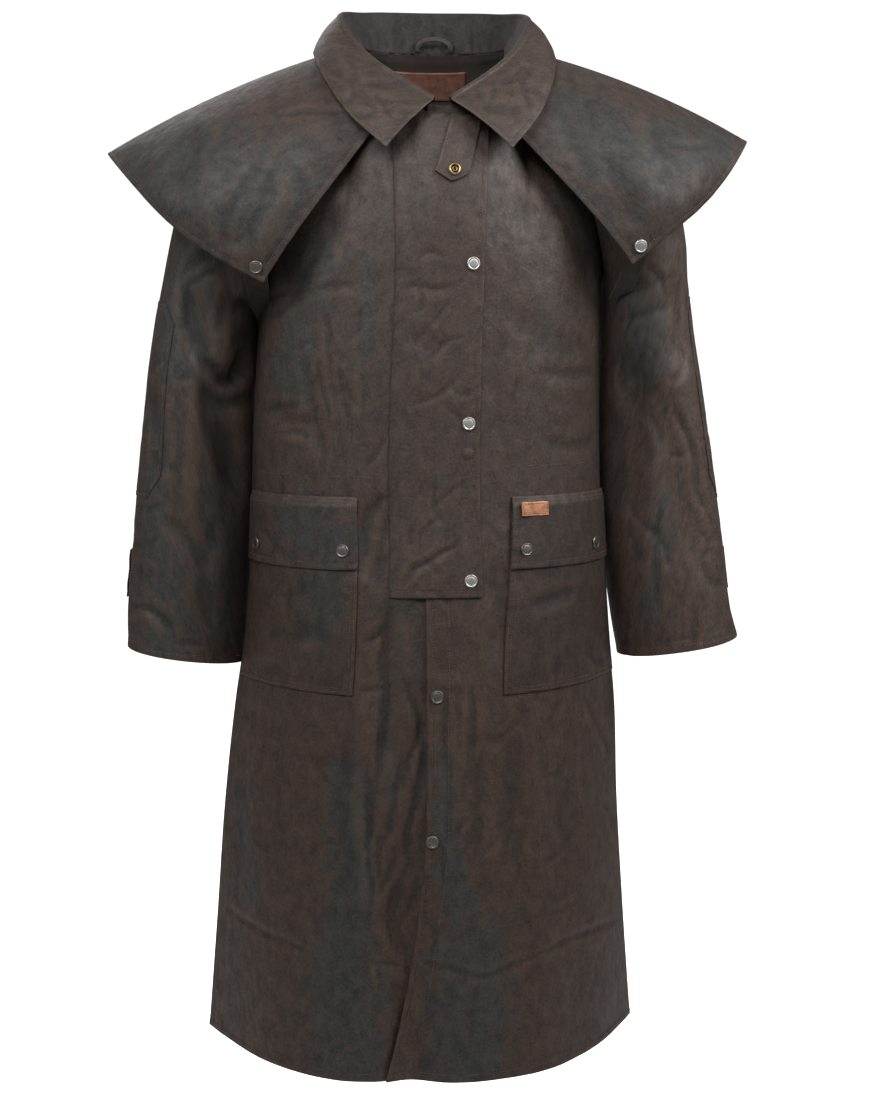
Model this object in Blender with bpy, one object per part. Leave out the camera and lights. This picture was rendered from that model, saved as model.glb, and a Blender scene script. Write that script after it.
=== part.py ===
"""A full-length waxed-cotton riding coat with a shoulder cape, standing hollow as if it were worn.

Every cloth piece is a closed wall over a grid of points. The torso panels share one surface, so what
is sewn on a panel is made from that panel's own points, moved out. Units are metres, +Z is up, the
front faces -Y, the wearer's left is +X, and the origin is at the neck, where the wearer carries it.
"""

import math

import bmesh
import bpy
import numpy as np


class Table:
    """Rows of named columns, read between the rows along a smooth curve. The first column is the key."""

    def __init__(self, names, *rows):
        self.names = names.split()
        self.rows = np.array(rows, float)

    def at(self, name, key):
        knots = self.rows[:, 0]
        values = self.rows[:, self.names.index(name)]
        slopes = np.gradient(values, knots)
        key = np.clip(key, knots[0], knots[-1])
        low = np.clip(np.searchsorted(knots, key) - 1, 0, len(knots) - 2)
        span = knots[low + 1] - knots[low]
        t = (key - knots[low]) / span
        rise = values[low + 1] - values[low]
        start, end = slopes[low] * span, slopes[low + 1] * span
        return values[low] + start * t + (3 * rise - 2 * start - end) * t**2 + (start + end - 2 * rise) * t**3

    def points(self, stem, key):
        """The x, y, z columns whose names start with the stem, as points."""
        return np.stack([self.at(stem + axis, key) for axis in "xyz"], axis=-1)


# Cloth and clearances
WALL = 0.0016
SEAM = 0.0004
LAP_GAP = 0.0009
SEWN_GAP = 0.0009
SNAP_GAP = 0.0005
SLEEVE_GAP = 0.0014
UNDERLAP_SINK = 0.0040
COLLAR_WALL = 0.0022
FACING_WALL = 0.0010

# Torso: level sections from the underarm down to the hem. Square and pinch shape the section between
# an oval (2, 0.5) and the pointed lens that the cloth makes at the hem.
UNDERARM_DROP = 0.280
HEM_DROP = 1.222
BODY = Table(
    "drop  centre_x half_width front  back   square pinch",
    (0.280, 0.003, 0.2090, 0.150, 0.126, 2.2, 0.55),
    (0.400, -0.002, 0.2125, 0.154, 0.120, 2.2, 0.55),
    (0.475, -0.004, 0.2150, 0.155, 0.116, 2.2, 0.55),
    (0.545, -0.004, 0.2170, 0.159, 0.120, 2.2, 0.56),
    (0.625, -0.003, 0.2210, 0.167, 0.128, 2.3, 0.60),
    (0.720, -0.003, 0.2290, 0.174, 0.138, 2.4, 0.74),
    (0.800, -0.005, 0.2390, 0.180, 0.146, 2.5, 0.86),
    (0.930, -0.010, 0.2490, 0.187, 0.158, 2.7, 0.94),
    (1.070, -0.011, 0.2590, 0.195, 0.170, 2.9, 1.00),
    (1.222, -0.0115, 0.2710, 0.204, 0.184, 3.0, 1.05),
)

# The largest folds of the skirt and waist: a line down the cloth, its half-width, and its depth inward.
FOLDS = Table(
    "face  top_x  top_drop bottom_x bottom_drop width depth",
    (-1, -0.062, 0.520, -0.092, 0.640, 0.014, 0.005),
    (-1, -0.036, 0.900, -0.037, 1.290, 0.030, 0.016),
    (-1, -0.075, 0.740, -0.090, 1.100, 0.022, -0.005),
    (-1, 0.075, 0.760, 0.095, 1.240, 0.030, 0.007),
    (-1, 0.150, 0.800, 0.170, 1.260, 0.028, 0.006),
    (-1, -0.150, 0.780, -0.165, 1.260, 0.030, 0.006),
    (1, 0.000, 0.560, 0.004, 1.300, 0.040, 0.012),
    (1, -0.120, 0.600, -0.140, 1.280, 0.030, 0.009),
    (1, 0.125, 0.580, 0.150, 1.300, 0.034, 0.010),
)

# Neckline and shoulder
NECK_CENTRE_X = 0.006
NECK_HALF = 0.088
NECK_SIDE = np.array([NECK_HALF, 0.010, -0.004])
NECK_FRONT_REACH = 0.122
NECK_FRONT_FALL = 0.082
NECK_BACK_REACH = 0.075
NECK_BACK_RISE = 0.004
NECK_SHARE = 0.54

# Shoulder tip, and the armhole: the share of the panel's width that it cuts away at its deepest
SHOULDER_TIP = np.array([0.222, 0.000, -0.056])
ARMHOLE_CUT = 0.16

# How the chest and upper back leave the underarm level, and arrive at the neck and over the shoulder
CHEST_LEAVE = 0.24
NECK_ARRIVE = np.array([0.0, 0.10, 0.15])
SHOULDER_ARRIVE = np.array([0.0, 0.20, 0.02])

# Sleeves: each ring runs from an outer to an inner point, and is deep from front to back. Its inner edge
# lies further back than its outer one, so that the arm hangs close behind the torso's side.
SLEEVE_STATIONS = "station outer_x outer_drop inner_x inner_drop centre_y half_depth inner_back"
SLEEVES = {
    "right": Table(
        SLEEVE_STATIONS,
        (1, 0.254, 0.084, 0.2090, 0.290, -0.005, 0.079, 0.004),
        (2, 0.286, 0.136, 0.2085, 0.302, -0.004, 0.084, 0.014),
        (3, 0.310, 0.213, 0.2085, 0.325, -0.003, 0.085, 0.026),
        (4, 0.330, 0.307, 0.2110, 0.362, -0.002, 0.082, 0.034),
        (5, 0.345, 0.400, 0.2160, 0.425, -0.005, 0.078, 0.038),
        (6, 0.360, 0.542, 0.2195, 0.554, -0.010, 0.072, 0.042),
        (7, 0.374, 0.668, 0.2270, 0.690, -0.014, 0.068, 0.046),
        (8, 0.375, 0.728, 0.2320, 0.755, -0.016, 0.066, 0.046),
    ),
    "left": Table(
        SLEEVE_STATIONS,
        (1, 0.254, 0.082, 0.2148, 0.290, -0.005, 0.079, 0.002),
        (2, 0.286, 0.134, 0.2143, 0.302, -0.004, 0.084, 0.008),
        (3, 0.311, 0.213, 0.2140, 0.325, -0.003, 0.085, 0.015),
        (4, 0.320, 0.300, 0.2135, 0.362, -0.002, 0.082, 0.022),
        (5, 0.335, 0.402, 0.2120, 0.425, -0.005, 0.078, 0.028),
        (6, 0.359, 0.548, 0.2140, 0.560, -0.010, 0.072, 0.034),
        (7, 0.373, 0.664, 0.2300, 0.690, -0.014, 0.068, 0.030),
        (8, 0.386, 0.722, 0.2400, 0.749, -0.016, 0.066, 0.026),
    ),
}
SLEEVE_TURN = 18.0
SLEEVE_RINGS = (1, 2, 3, 4, 4.5, 5, 5.35, 5.7, 6, 6.5, 6.75, 7, 7.5, 8)
PATCH_RINGS = (4, 6)
PATCH_TURNS = {"right": (36, 144), "left": (54, 180)}
TAB_RINGS = (6.5, 7)
TAB_TURNS = (90, 198)

# Folds of the sleeves: station range, direction round the arm in degrees (0 front, 90 outside), depth
SLEEVE_FOLDS = Table(
    "side  turn  turn_end station station_end width depth",
    (-1, 20, -12, 3.2, 5.6, 20, 0.009),
    (-1, -32, -40, 4.4, 6.4, 18, 0.010),
    (-1, 172, 205, 4.0, 6.2, 22, 0.008),
    (1, 20, 34, 3.4, 5.0, 16, 0.007),
    (1, 0, 24, 4.8, 6.8, 18, 0.008),
    (1, -30, -34, 4.2, 6.4, 18, 0.009),
    (1, 205, 215, 4.0, 6.2, 22, 0.008),
)

# Cape: lines run out from the neck to the hem, at a turn round the neck from the front (0) to the back
CAPE_NECK_OUT = 0.011
CAPE_NECK_LIFT = 0.0030
CAPE_COLUMNS = "turn  hem_x  hem_y  hem_z  swell lift"
CAPE_BACK_ROWS = (
    (118, 0.366, 0.075, -0.152, 0.022, 0.014),
    (145, 0.270, 0.150, -0.232, 0.034, 0.018),
    (180, 0.000, 0.182, -0.290, 0.020, 0.010),
)
CAPE = {
    "right": Table(
        CAPE_COLUMNS,
        (28, 0.201, -0.122, -0.288, 0.010, 0.000),
        (44, 0.262, -0.122, -0.254, 0.030, 0.006),
        (58, 0.305, -0.104, -0.222, 0.038, 0.008),
        (74, 0.346, -0.066, -0.181, 0.030, 0.012),
        (92, 0.387, 0.004, -0.134, 0.002, 0.012),
        *CAPE_BACK_ROWS,
    ),
    "left": Table(
        CAPE_COLUMNS,
        (28, 0.230, -0.122, -0.266, 0.010, 0.000),
        (44, 0.276, -0.116, -0.228, 0.030, 0.006),
        (58, 0.315, -0.096, -0.197, 0.038, 0.008),
        (74, 0.354, -0.060, -0.158, 0.030, 0.012),
        (92, 0.392, 0.004, -0.112, 0.002, 0.012),
        *CAPE_BACK_ROWS,
    ),
}
CAPE_STEPS = 8
CAPE_FRONT_TURNS = (28, 34, 40, 47, 54, 62, 72, 82, 92)
CAPE_CORNER_TURNS = (31, 34, 37)
CAPE_SNAPS = {"right": (31.6, 0.953), "left": (33.0, 0.952)}
CAPE_SNAP_TURNS = np.array([-3.0, 0.0, 3.0])
CAPE_SNAP_STEPS = np.array([-0.035, 0.0, 0.035])
CAPE_BACK_TURNS = (92, 104, 118, 132, 147, 163, 180)

# Collar: a stand from the neck seam up to the roll, and a fall from the roll out to the edge
COLLAR_ROLL_RADIUS = 0.0035
COLLAR_SEAM_INSET = 0.0020
COLLAR_BOW = 0.0028
COLLAR_SHARES = (0, 0.5, 1, 1.33, 1.67, 2, 2.35, 2.7, 3)
COLLAR_TURNS = (9, 20, 32, 46, 62, 80, 98, 116, 135, 157, 180)
COLLAR = Table(
    "turn rollx  rolly   rollz   edgex  edgey   edgez   uneven",
    (9, 0.0090, -0.1240, -0.0805, 0.072, -0.1560, -0.1370, 0.006),
    (32, 0.066, -0.0780, -0.0380, 0.108, -0.1230, -0.0980, 0.003),
    (80, 0.110, 0.0000, 0.0280, 0.145, -0.0080, -0.0127, 0.000),
    (130, 0.078, 0.0690, 0.0460, 0.108, 0.0930, -0.0097, 0.000),
    (180, 0.000, 0.0910, 0.0500, 0.000, 0.1230, -0.0077, 0.000),
)

# Places along the torso grid: sideways as a share of the half-width, and down as drops
POCKET_EDGE_SHARE = 0.415
POCKET_SLANT = 0.075
POCKET_SLANT_END = 0.76
POCKET_SLANT_DROP = 0.99
STORM_EDGE_SHARE = 0.25
POCKET_END_SHARE = 0.984
FRONT_SHARES = (0.0, 0.08, 0.16, STORM_EDGE_SHARE, 0.34, POCKET_EDGE_SHARE, NECK_SHARE, 0.65, 0.76, 0.86, 0.94,
                POCKET_END_SHARE, 1.0)
UNDERLAP_SHARES = (-0.13, -0.065)
OVERLAP_SHARES = (-0.065,)
BACK_SHARES = (0.0, 0.095, 0.19, 0.30, 0.42, NECK_SHARE, 0.68, 0.81, 0.91, 0.97, 1.0)
FLAP_TOP_DROP = 0.536
FLAP_TURN_DROP = 0.545
POCKET_TOP_DROP = 0.557
FLAP_BOTTOM_DROP = 0.620
POCKET_BOTTOM_DROP = 0.766
STORM_BOTTOM_DROP = 0.651
DROPS = (HEM_DROP, 1.150, 1.070, 0.990, 0.910, 0.835, POCKET_BOTTOM_DROP, 0.705, STORM_BOTTOM_DROP,
         FLAP_BOTTOM_DROP, POCKET_TOP_DROP, FLAP_TURN_DROP, FLAP_TOP_DROP, 0.470, 0.405, 0.340, UNDERARM_DROP)
UPPER_ROWS = int(180 / SLEEVE_TURN)
STORM_UPPER_ROWS = 9
STORM_SHARES = (-0.25, -0.17, -0.09, -0.01, 0.08, 0.16, 0.235)
LAP_START, LAP_END = 0.16, 0.34
STORM_STEP_START, STORM_STEP_END = -0.17, -0.09
SINK_START, SINK_END = -0.42, -0.25
SINK_FULL_DROP = 0.85

# Front edge of the overlapping front: it swings across the centre towards the hem
EDGE_SWING = Table(
    "drop  share",
    (0.280, 0.000),
    (0.655, 0.007),
    (0.800, 0.020),
    (0.950, 0.037),
    (1.060, -0.004),
    (1.140, -0.060),
    (1.222, -0.135),
)

# Small pieces
SNAP_RADIUS = 0.0078
SNAP_HEIGHT = 0.0022
SOCKET_RADIUS = 0.0072
POCKET_BULGE = 0.0022
FLAP_LIFT = 0.0006
STORM_SNAP_SHARE = 0.175
STORM_SNAP_LEVELS = (("top", 0.055), ("middle", -0.170), ("bottom", -0.352))
FRONT_SNAP_SHARE = 0.002
FRONT_SNAP_DROPS = (("upper", 0.766), ("lower", 0.936))
POCKET_SNAP_DROP = 0.598
POCKET_SNAPS = {
    "right": (("inner", 0.485, 0.35), ("outer", 0.930, 1.0)),
    "left": (("inner", 0.475, 0.55), ("outer", 0.880, 1.0)),
}
FLAP_TOP_LIFT = SEWN_GAP + WALL + SEAM + FLAP_LIFT + WALL + SNAP_GAP
TAG_THICK = 0.0012
TAG_SHARES = (0.455, 0.600)
TAG_DROPS = (0.543, 0.559)
LABEL_SHARES = (-0.19, -0.095, 0.0, 0.095, 0.19)
LOOP_WIDTH = 0.005
LOOP_THICK = 0.0014
LOOP_HALF_SPAN = 0.021
LOOP_RISE = 0.0155
LOOP_STAND_OFF = 0.0065
LOOP_SHIFT = 0.004
STRAP_THICK = 0.0018
STRAP_WIDTH = 0.022
STRAP_STEPS = (0.86, 0.90, 0.96)
STRAP_STATIONS = (2.5, 2.8, 3.1)
STRAP_TURNS = (-66, -50, -34)
STRAP_FOOT_LINE = np.array([0.72, -0.62, 0.31])
STRAP_SLACK = 0.004
STRAP_OFF = 0.0047
STRAP_UNDER_CAPE = 0.0035
TAB_THICK = 0.0020
SOCKET_HOLE = 0.0032
THROAT_TAB = Table(
    "step share  half_share level slant  point",
    (0.00, 0.120, 0.077, 0.870, 0.035, 0.000),
    (0.30, 0.097, 0.077, 0.760, 0.030, 0.000),
    (0.60, 0.074, 0.077, 0.650, 0.025, 0.000),
    (0.85, 0.055, 0.077, 0.5585, 0.021, 0.010),
    (1.00, 0.0435, 0.077, 0.527, 0.018, 0.045),
)

COLOURS = {
    "cloth": (0.055, 0.044, 0.038),
    "cloth_dark": (0.036, 0.033, 0.030),
    "leather": (0.090, 0.034, 0.020),
    "leather_tan": (0.300, 0.125, 0.060),
    "steel": (0.42, 0.42, 0.43),
    "gunmetal": (0.10, 0.09, 0.085),
    "brass": (0.50, 0.33, 0.14),
}
METALS = ("steel", "gunmetal", "brass")


# Helpers for arrays, walls and objects
def blend(start, end, at):
    """A soft step from 0 at start to 1 at end."""
    t = np.clip((np.asarray(at, float) - start) / (end - start), 0, 1)
    return t * t * (3 - 2 * t)


def sign_of(side):
    return -1.0 if side == "right" else 1.0


def grid(rows, columns):
    return np.meshgrid(np.asarray(rows, float), np.asarray(columns, float), indexing="ij")


def normals_of(points, wrap=False):
    """Unit normals of a grid of points, from its rows and columns."""
    padded = np.concatenate([points[:, -1:], points, points[:, :1]], axis=1) if wrap else points
    across = np.gradient(padded, axis=1)
    along = np.gradient(padded, axis=0)
    normals = np.cross(across, along)
    if wrap:
        normals = normals[:, 1:-1]
    return normals / np.maximum(np.linalg.norm(normals, axis=-1, keepdims=True), 1e-12)


def material(name, tone):
    made = bpy.data.materials.new(name)
    made.use_nodes = True
    shader = made.node_tree.nodes["Principled BSDF"]
    shader.inputs["Base Color"].default_value = (*COLOURS[tone], 1.0)
    shader.inputs["Metallic"].default_value = 1.0 if tone in METALS else 0.0
    shader.inputs["Roughness"].default_value = 0.35 if tone in METALS else 0.72
    return made


def add_object(name, vertices, faces, tone):
    mesh = bpy.data.meshes.new(name)
    mesh.from_pydata([tuple(map(float, vertex)) for vertex in vertices], [], faces)
    shape = bmesh.new()
    shape.from_mesh(mesh)
    bmesh.ops.recalc_face_normals(shape, faces=shape.faces)
    shape.to_mesh(mesh)
    shape.free()
    made = bpy.data.objects.new(name, mesh)
    bpy.context.collection.objects.link(made)
    mesh.materials.append(material(name, tone))
    mesh.shade_smooth()
    mesh.set_sharp_from_angle(angle=math.radians(40))
    return made


def cells_of(rows, columns, wrap=False, clipped=()):
    """Corner indices of each cell of a grid. A clipped cell, named by row and column, loses one corner."""
    cells = []
    for row in range(rows - 1):
        for column in range(columns if wrap else columns - 1):
            after = (column + 1) % columns
            corners = [row * columns + column, row * columns + after,
                       (row + 1) * columns + after, (row + 1) * columns + column]
            lost = dict(clipped).get((row, column))
            if lost is not None:
                del corners[lost]
            cells.append(corners)
    return cells


def wall(name, points, tone, inner, outer, normals=None, wrap=False, clipped=()):
    """A closed wall over a grid, between two offsets along the grid's normals."""
    normals = normals_of(points, wrap) if normals is None else normals
    rows, columns = points.shape[:2]
    cells = cells_of(rows, columns, wrap, clipped)
    count = rows * columns
    offsets = [np.broadcast_to(offset, (rows, columns))[..., None] for offset in (outer, inner)]
    vertices = np.concatenate([(points + normals * offset).reshape(-1, 3) for offset in offsets])
    edges = {(cell[i - 1], cell[i]) for cell in cells for i in range(len(cell))}
    faces = [tuple(cell) for cell in cells]
    faces += [tuple(index + count for index in (cell[0], *reversed(cell[1:]))) for cell in cells]
    rim = [(start, end) for start, end in sorted(edges) if (end, start) not in edges]
    faces += [(end, start, start + count, end + count) for start, end in rim]
    used = sorted({index for face in faces for index in face})
    place = {index: position for position, index in enumerate(used)}
    return add_object(name, vertices[used], [tuple(place[index] for index in face) for face in faces], tone)


def strip(name, path, across, width, thick, tone):
    """A flat band along a path, lying on the plane of the path and its across directions."""
    path = np.asarray(path, float)
    across = np.asarray(across, float)
    across = across / np.linalg.norm(across, axis=-1, keepdims=True)
    points = path[:, None] + across[:, None] * np.array([-0.5, 0.5])[None, :, None] * width
    return wall(name, points, tone, -thick / 2, thick / 2)


def disc(name, centre, normal, radius, height, tone, hole=0.0):
    """A snap cap: a low turned button with a rounded edge, or a ring where it has a hole."""
    normal = np.asarray(normal, float) / np.linalg.norm(normal)
    side = np.cross(normal, (0.0, 0.0, 1.0))
    side = side / np.linalg.norm(side)
    up = np.cross(side, normal)
    turns = np.radians(np.arange(0, 360, 30))
    spokes = np.cos(turns)[:, None] * side + np.sin(turns)[:, None] * up
    inside = max(hole, radius * 0.35)
    rim = radius * 0.82
    profile = [(inside, 0.0), (radius, 0.0), (radius, height * 0.5), (rim, height), (inside, height)]
    rings = [centre + spokes * reach + normal * rise for reach, rise in profile]
    vertices = np.concatenate(rings)
    count = len(turns)
    faces = []
    for ring in range(len(profile) if hole else len(profile) - 1):
        following = (ring + 1) % len(profile)
        for turn in range(count):
            after = (turn + 1) % count
            low, high = ring * count, following * count
            faces.append((low + turn, low + after, high + after, high + turn))
    if not hole:
        faces.append(tuple(reversed(range(count))))
        faces.append(tuple((len(profile) - 1) * count + turn for turn in range(count)))
    return add_object(name, vertices, faces, tone)


# The torso surface, shared by the fronts, the back and all that lies on them
def fold_depth(face, x, drop):
    """How far the folds of one face press the cloth inward."""
    total = np.zeros(np.broadcast(x, drop).shape)
    for row in FOLDS.rows:
        fold = dict(zip(FOLDS.names, row))
        if fold["face"] != face:
            continue
        along = (drop - fold["top_drop"]) / (fold["bottom_drop"] - fold["top_drop"])
        line = fold["top_x"] + (fold["bottom_x"] - fold["top_x"]) * along
        fade = blend(0, 0.35, along) * blend(1, 0.75, along)
        total += fold["depth"] * fade * np.exp(-(((x - line) / fold["width"]) ** 2))
    return total


def section(face, share, drop):
    """A point of the level section at a drop, at a share of its half-width."""
    bare = np.clip(1 - np.abs(share) ** BODY.at("square", drop), 0, 1) ** BODY.at("pinch", drop)
    reach = BODY.at("front" if face < 0 else "back", drop)
    x = BODY.at("centre_x", drop) + BODY.at("half_width", drop) * share
    y = face * (reach * bare - fold_depth(face, x, drop) * blend(0.0, 0.4, bare))
    return np.stack(np.broadcast_arrays(x, y, -drop), axis=-1)


def neckline(face, turn):
    """The neck seam at a turn in degrees from the middle of one face, signed towards the wearer's left."""
    angle = np.radians(turn)
    bow = np.cos(angle)
    x = NECK_CENTRE_X + NECK_HALF * np.sin(angle)
    if face < 0:
        y = NECK_SIDE[1] - NECK_FRONT_REACH * bow
        z = NECK_SIDE[2] - NECK_FRONT_FALL * np.abs(bow) ** 1.3
    else:
        y = NECK_SIDE[1] + NECK_BACK_REACH * bow
        z = NECK_SIDE[2] + NECK_BACK_RISE * bow
    return np.stack(np.broadcast_arrays(x, y, z), axis=-1)


def top_edge(face, share):
    """The upper edge of a panel: the neckline, then the shoulder seam out to the shoulder tip."""
    along = np.clip((np.abs(share) - NECK_SHARE) / (1 - NECK_SHARE), 0, 1)[..., None]
    neck = neckline(face, np.clip(share / NECK_SHARE, -1, 1) * 90)
    tip = np.broadcast_to(SHOULDER_TIP, neck.shape).copy()
    tip[..., 0] *= np.where(share < 0, -1.0, 1.0)
    return neck + (tip - neck) * along


def upper(face, share, t):
    """The chest or the upper back, from the underarm level (t 0) to the neck and shoulder (t 1).

    A cubic leaves the section straight up and arrives over the shoulder. The shares are drawn in from
    the side by the armhole, which is cut deepest half-way up.
    """
    cut = ARMHOLE_CUT * np.sin(np.pi * t) ** 1.5 * blend(0.35, 1.0, np.abs(share))
    share = share * (1 - cut)
    low = section(face, share, np.full_like(share, UNDERARM_DROP))
    high = top_edge(face, share)
    level = blend(0.1, NECK_SHARE, np.abs(share))[..., None]
    leave = np.array([0.0, 0.0, CHEST_LEAVE])
    arrive = (NECK_ARRIVE * (1 - level) + SHOULDER_ARRIVE * level) * np.array([1, -face, 1])
    t = t[..., None]
    ease = t * t * (3 - 2 * t)
    return low + (high - low) * ease + leave * t * (1 - t) ** 2 - arrive * t**2 * (1 - t)


def torso(face, share, level):
    """The torso surface. A level under 0 is metres below the underarm, and above it runs to 1 at the top."""
    low = section(face, share, UNDERARM_DROP - np.minimum(level, 0))
    high = upper(face, share, np.clip(level, 0, 1))
    points = np.where((level > 0)[..., None], high, low)
    points[..., 1] += face * SEAM / 2
    return points


def armhole(sign, turn):
    """The armhole at a turn in degrees: -90 at the underarm, 0 in front, 90 at the shoulder, 180 behind."""
    turn = np.asarray(turn, float)
    share = np.full_like(turn, sign)
    front = torso(-1, share, np.clip((turn + 90) / 180, 0, 1))
    back = torso(1, share, np.clip((270 - turn) / 180, 0, 1))
    return np.where((turn <= 90)[..., None], front, back)


def levels_between(bottom_drop, top_drop=UNDERARM_DROP, upper_rows=0):
    """The grid's levels from one drop up to another, and then a number of rows above the underarm."""
    lower = [UNDERARM_DROP - drop for drop in DROPS if top_drop - 1e-6 <= drop <= bottom_drop + 1e-6]
    return lower + [row / UPPER_ROWS for row in range(1, upper_rows + 1)]


def torso_normals(face, share, level):
    """Unit normals of the torso surface. At the side and shoulder seams they have no front-to-back part."""
    step = 0.004
    lowest = UNDERARM_DROP - HEM_DROP
    left, right = np.clip(share + step, -1, 1), np.clip(share - step, -1, 1)
    sideways = torso(face, left, level) - torso(face, right, level)
    above, below = np.clip(level + step, lowest, 1), np.clip(level - step, lowest, 1)
    upward = torso(face, share, above) - torso(face, share, below)
    normals = np.cross(upward, sideways) * face
    side_seam = (np.abs(share) > 0.999) & (level < 0.001)
    shoulder_seam = (np.abs(share) > NECK_SHARE - 0.001) & (level > 0.999)
    normals[..., 1] = np.where(side_seam | shoulder_seam, 0.0, normals[..., 1])
    return normals / np.linalg.norm(normals, axis=-1, keepdims=True)


def torso_grid(face, shares, levels):
    level, share = grid(levels, shares)
    return torso(face, share, level), torso_normals(face, share, level)


def front_shares(shares, level):
    """The left front's shares: its front edge swings, and its pocket's inner edge slants to the middle."""
    drop = UNDERARM_DROP - np.minimum(level, 0)
    swing = EDGE_SWING.at("share", drop) * blend(STORM_EDGE_SHARE, OVERLAP_SHARES[0], shares)
    near = blend(STORM_EDGE_SHARE, POCKET_EDGE_SHARE, shares)
    near = near * blend(POCKET_SLANT_END, POCKET_EDGE_SHARE, shares)
    slant = blend(FLAP_TOP_DROP, POCKET_BOTTOM_DROP, drop)
    slant = slant * blend(POCKET_SLANT_DROP, POCKET_BOTTOM_DROP, drop)
    return shares + swing - POCKET_SLANT * near * slant


def lap_offset(share):
    """How far the wearer's left front stands out over the right front at the middle."""
    return (WALL + LAP_GAP) * blend(LAP_END, LAP_START, share)


def underlap_offset(share, level):
    """How far the right front hangs in behind the left front, below the storm flap."""
    drop = UNDERARM_DROP - np.minimum(level, 0)
    lowered = blend(STORM_BOTTOM_DROP, SINK_FULL_DROP, drop)
    return -UNDERLAP_SINK * blend(SINK_START, SINK_END, share) * lowered


# Torso panels
def build_fronts():
    levels = levels_between(HEM_DROP, upper_rows=UPPER_ROWS)
    level, share = grid(levels, -np.array((*UNDERLAP_SHARES, *FRONT_SHARES)))
    sink = underlap_offset(share, level)
    wall("front_right", torso(-1, share, level), "cloth", sink - WALL, sink, torso_normals(-1, share, level))

    level, share = grid(levels, (*OVERLAP_SHARES, *FRONT_SHARES))
    share = front_shares(share, level)
    lift = lap_offset(share)
    wall("front_left", torso(-1, share, level), "cloth", lift - WALL, lift, torso_normals(-1, share, level))


def build_back():
    shares = [-share for share in reversed(BACK_SHARES)] + list(BACK_SHARES[1:])
    points, normals = torso_grid(1, shares, levels_between(HEM_DROP, upper_rows=UPPER_ROWS))
    wall("back", points, "cloth", -WALL, 0.0, normals)


def build_neck_facing():
    """The facing inside the back of the neck, with the bare label sewn on it."""
    shares = [share for share in BACK_SHARES if share <= NECK_SHARE]
    shares = [-share for share in reversed(shares)] + shares[1:]
    rows = np.arange(UPPER_ROWS - 4, UPPER_ROWS + 1) / UPPER_ROWS
    points, normals = torso_grid(1, shares, rows)
    inside = -WALL - SNAP_GAP
    wall("neck_facing", points, "cloth_dark", inside - FACING_WALL, inside, normals)

    label_rows = np.arange(UPPER_ROWS - 2, UPPER_ROWS) / UPPER_ROWS
    points, normals = torso_grid(1, LABEL_SHARES, label_rows)
    inside -= FACING_WALL + SEAM
    wall("neck_label", points, "leather", inside - TAG_THICK, inside, normals)


def storm_offset(share):
    """How far the storm flap's inner face stands off the torso, rising where it lies on the left front."""
    return SEWN_GAP + (WALL + LAP_GAP) * blend(STORM_STEP_START, STORM_STEP_END, share)


def build_storm_flap():
    levels = levels_between(STORM_BOTTOM_DROP, upper_rows=STORM_UPPER_ROWS)
    points, normals = torso_grid(-1, STORM_SHARES, levels)
    _, share = grid(levels, STORM_SHARES)
    inner = storm_offset(share)
    wall("storm_flap", points, "cloth", inner, inner + WALL, normals)


def pocket_grid(side, shares, bottom_drop, top_drop):
    level, share = grid(levels_between(bottom_drop, top_drop), shares)
    share = front_shares(share, level) if side == "left" else -share
    return torso(-1, share, level), torso_normals(-1, share, level)


def build_pockets():
    """Each side's patch pocket and the flap over it, made from the front's points."""
    shares = [share for share in FRONT_SHARES if POCKET_EDGE_SHARE <= share <= POCKET_END_SHARE]
    for side in ("right", "left"):
        points, normals = pocket_grid(side, shares, POCKET_BOTTOM_DROP, POCKET_TOP_DROP)
        lift = np.full(points.shape[:2], SEWN_GAP)
        lift[1:, 1:-1] += POCKET_BULGE
        wall(f"pocket_{side}", points, "cloth", lift, lift + WALL, normals)

        points, normals = pocket_grid(side, shares, FLAP_BOTTOM_DROP, FLAP_TOP_DROP)
        lift = np.full(points.shape[:2], SEWN_GAP)
        lift[:-1] += WALL + SEAM + FLAP_LIFT
        lift[:-1, 1:-1] += POCKET_BULGE
        wall(f"pocket_flap_{side}", points, "cloth", lift, lift + WALL, normals)


# Sleeves and what is sewn on them
def sleeve_ring(side, station, turn):
    """A sleeve's point at a station down the arm and a turn round it. Station 0 is the armhole itself."""
    sign = sign_of(side)
    table = SLEEVES[side]
    angle = np.radians(turn)
    outer = np.stack([table.at("outer_x", station), -table.at("outer_drop", station)], axis=-1)
    inner = np.stack([table.at("inner_x", station), -table.at("inner_drop", station)], axis=-1)
    middle, reach = (outer + inner) / 2, (outer - inner) / 2
    press = np.zeros(np.broadcast(station, turn).shape)
    for row in SLEEVE_FOLDS.rows:
        fold = dict(zip(SLEEVE_FOLDS.names, row))
        if fold["side"] != sign:
            continue
        along = (station - fold["station"]) / (fold["station_end"] - fold["station"])
        line = fold["turn"] + (fold["turn_end"] - fold["turn"]) * along
        apart = (turn - line + 180) % 360 - 180
        fade = blend(0, 0.3, along) * blend(1, 0.7, along)
        press += fold["depth"] * fade * np.exp(-((apart / fold["width"]) ** 2))
    depth = table.at("half_depth", station)
    shrink = 1 - press / depth
    xz = middle + reach * (np.sin(angle) * shrink)[..., None]
    y = table.at("centre_y", station) - depth * np.cos(angle) * shrink
    y = y + table.at("inner_back", station) * (1 - np.sin(angle)) / 2
    return np.stack([sign * xz[..., 0], y, xz[..., 1]], axis=-1)


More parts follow.
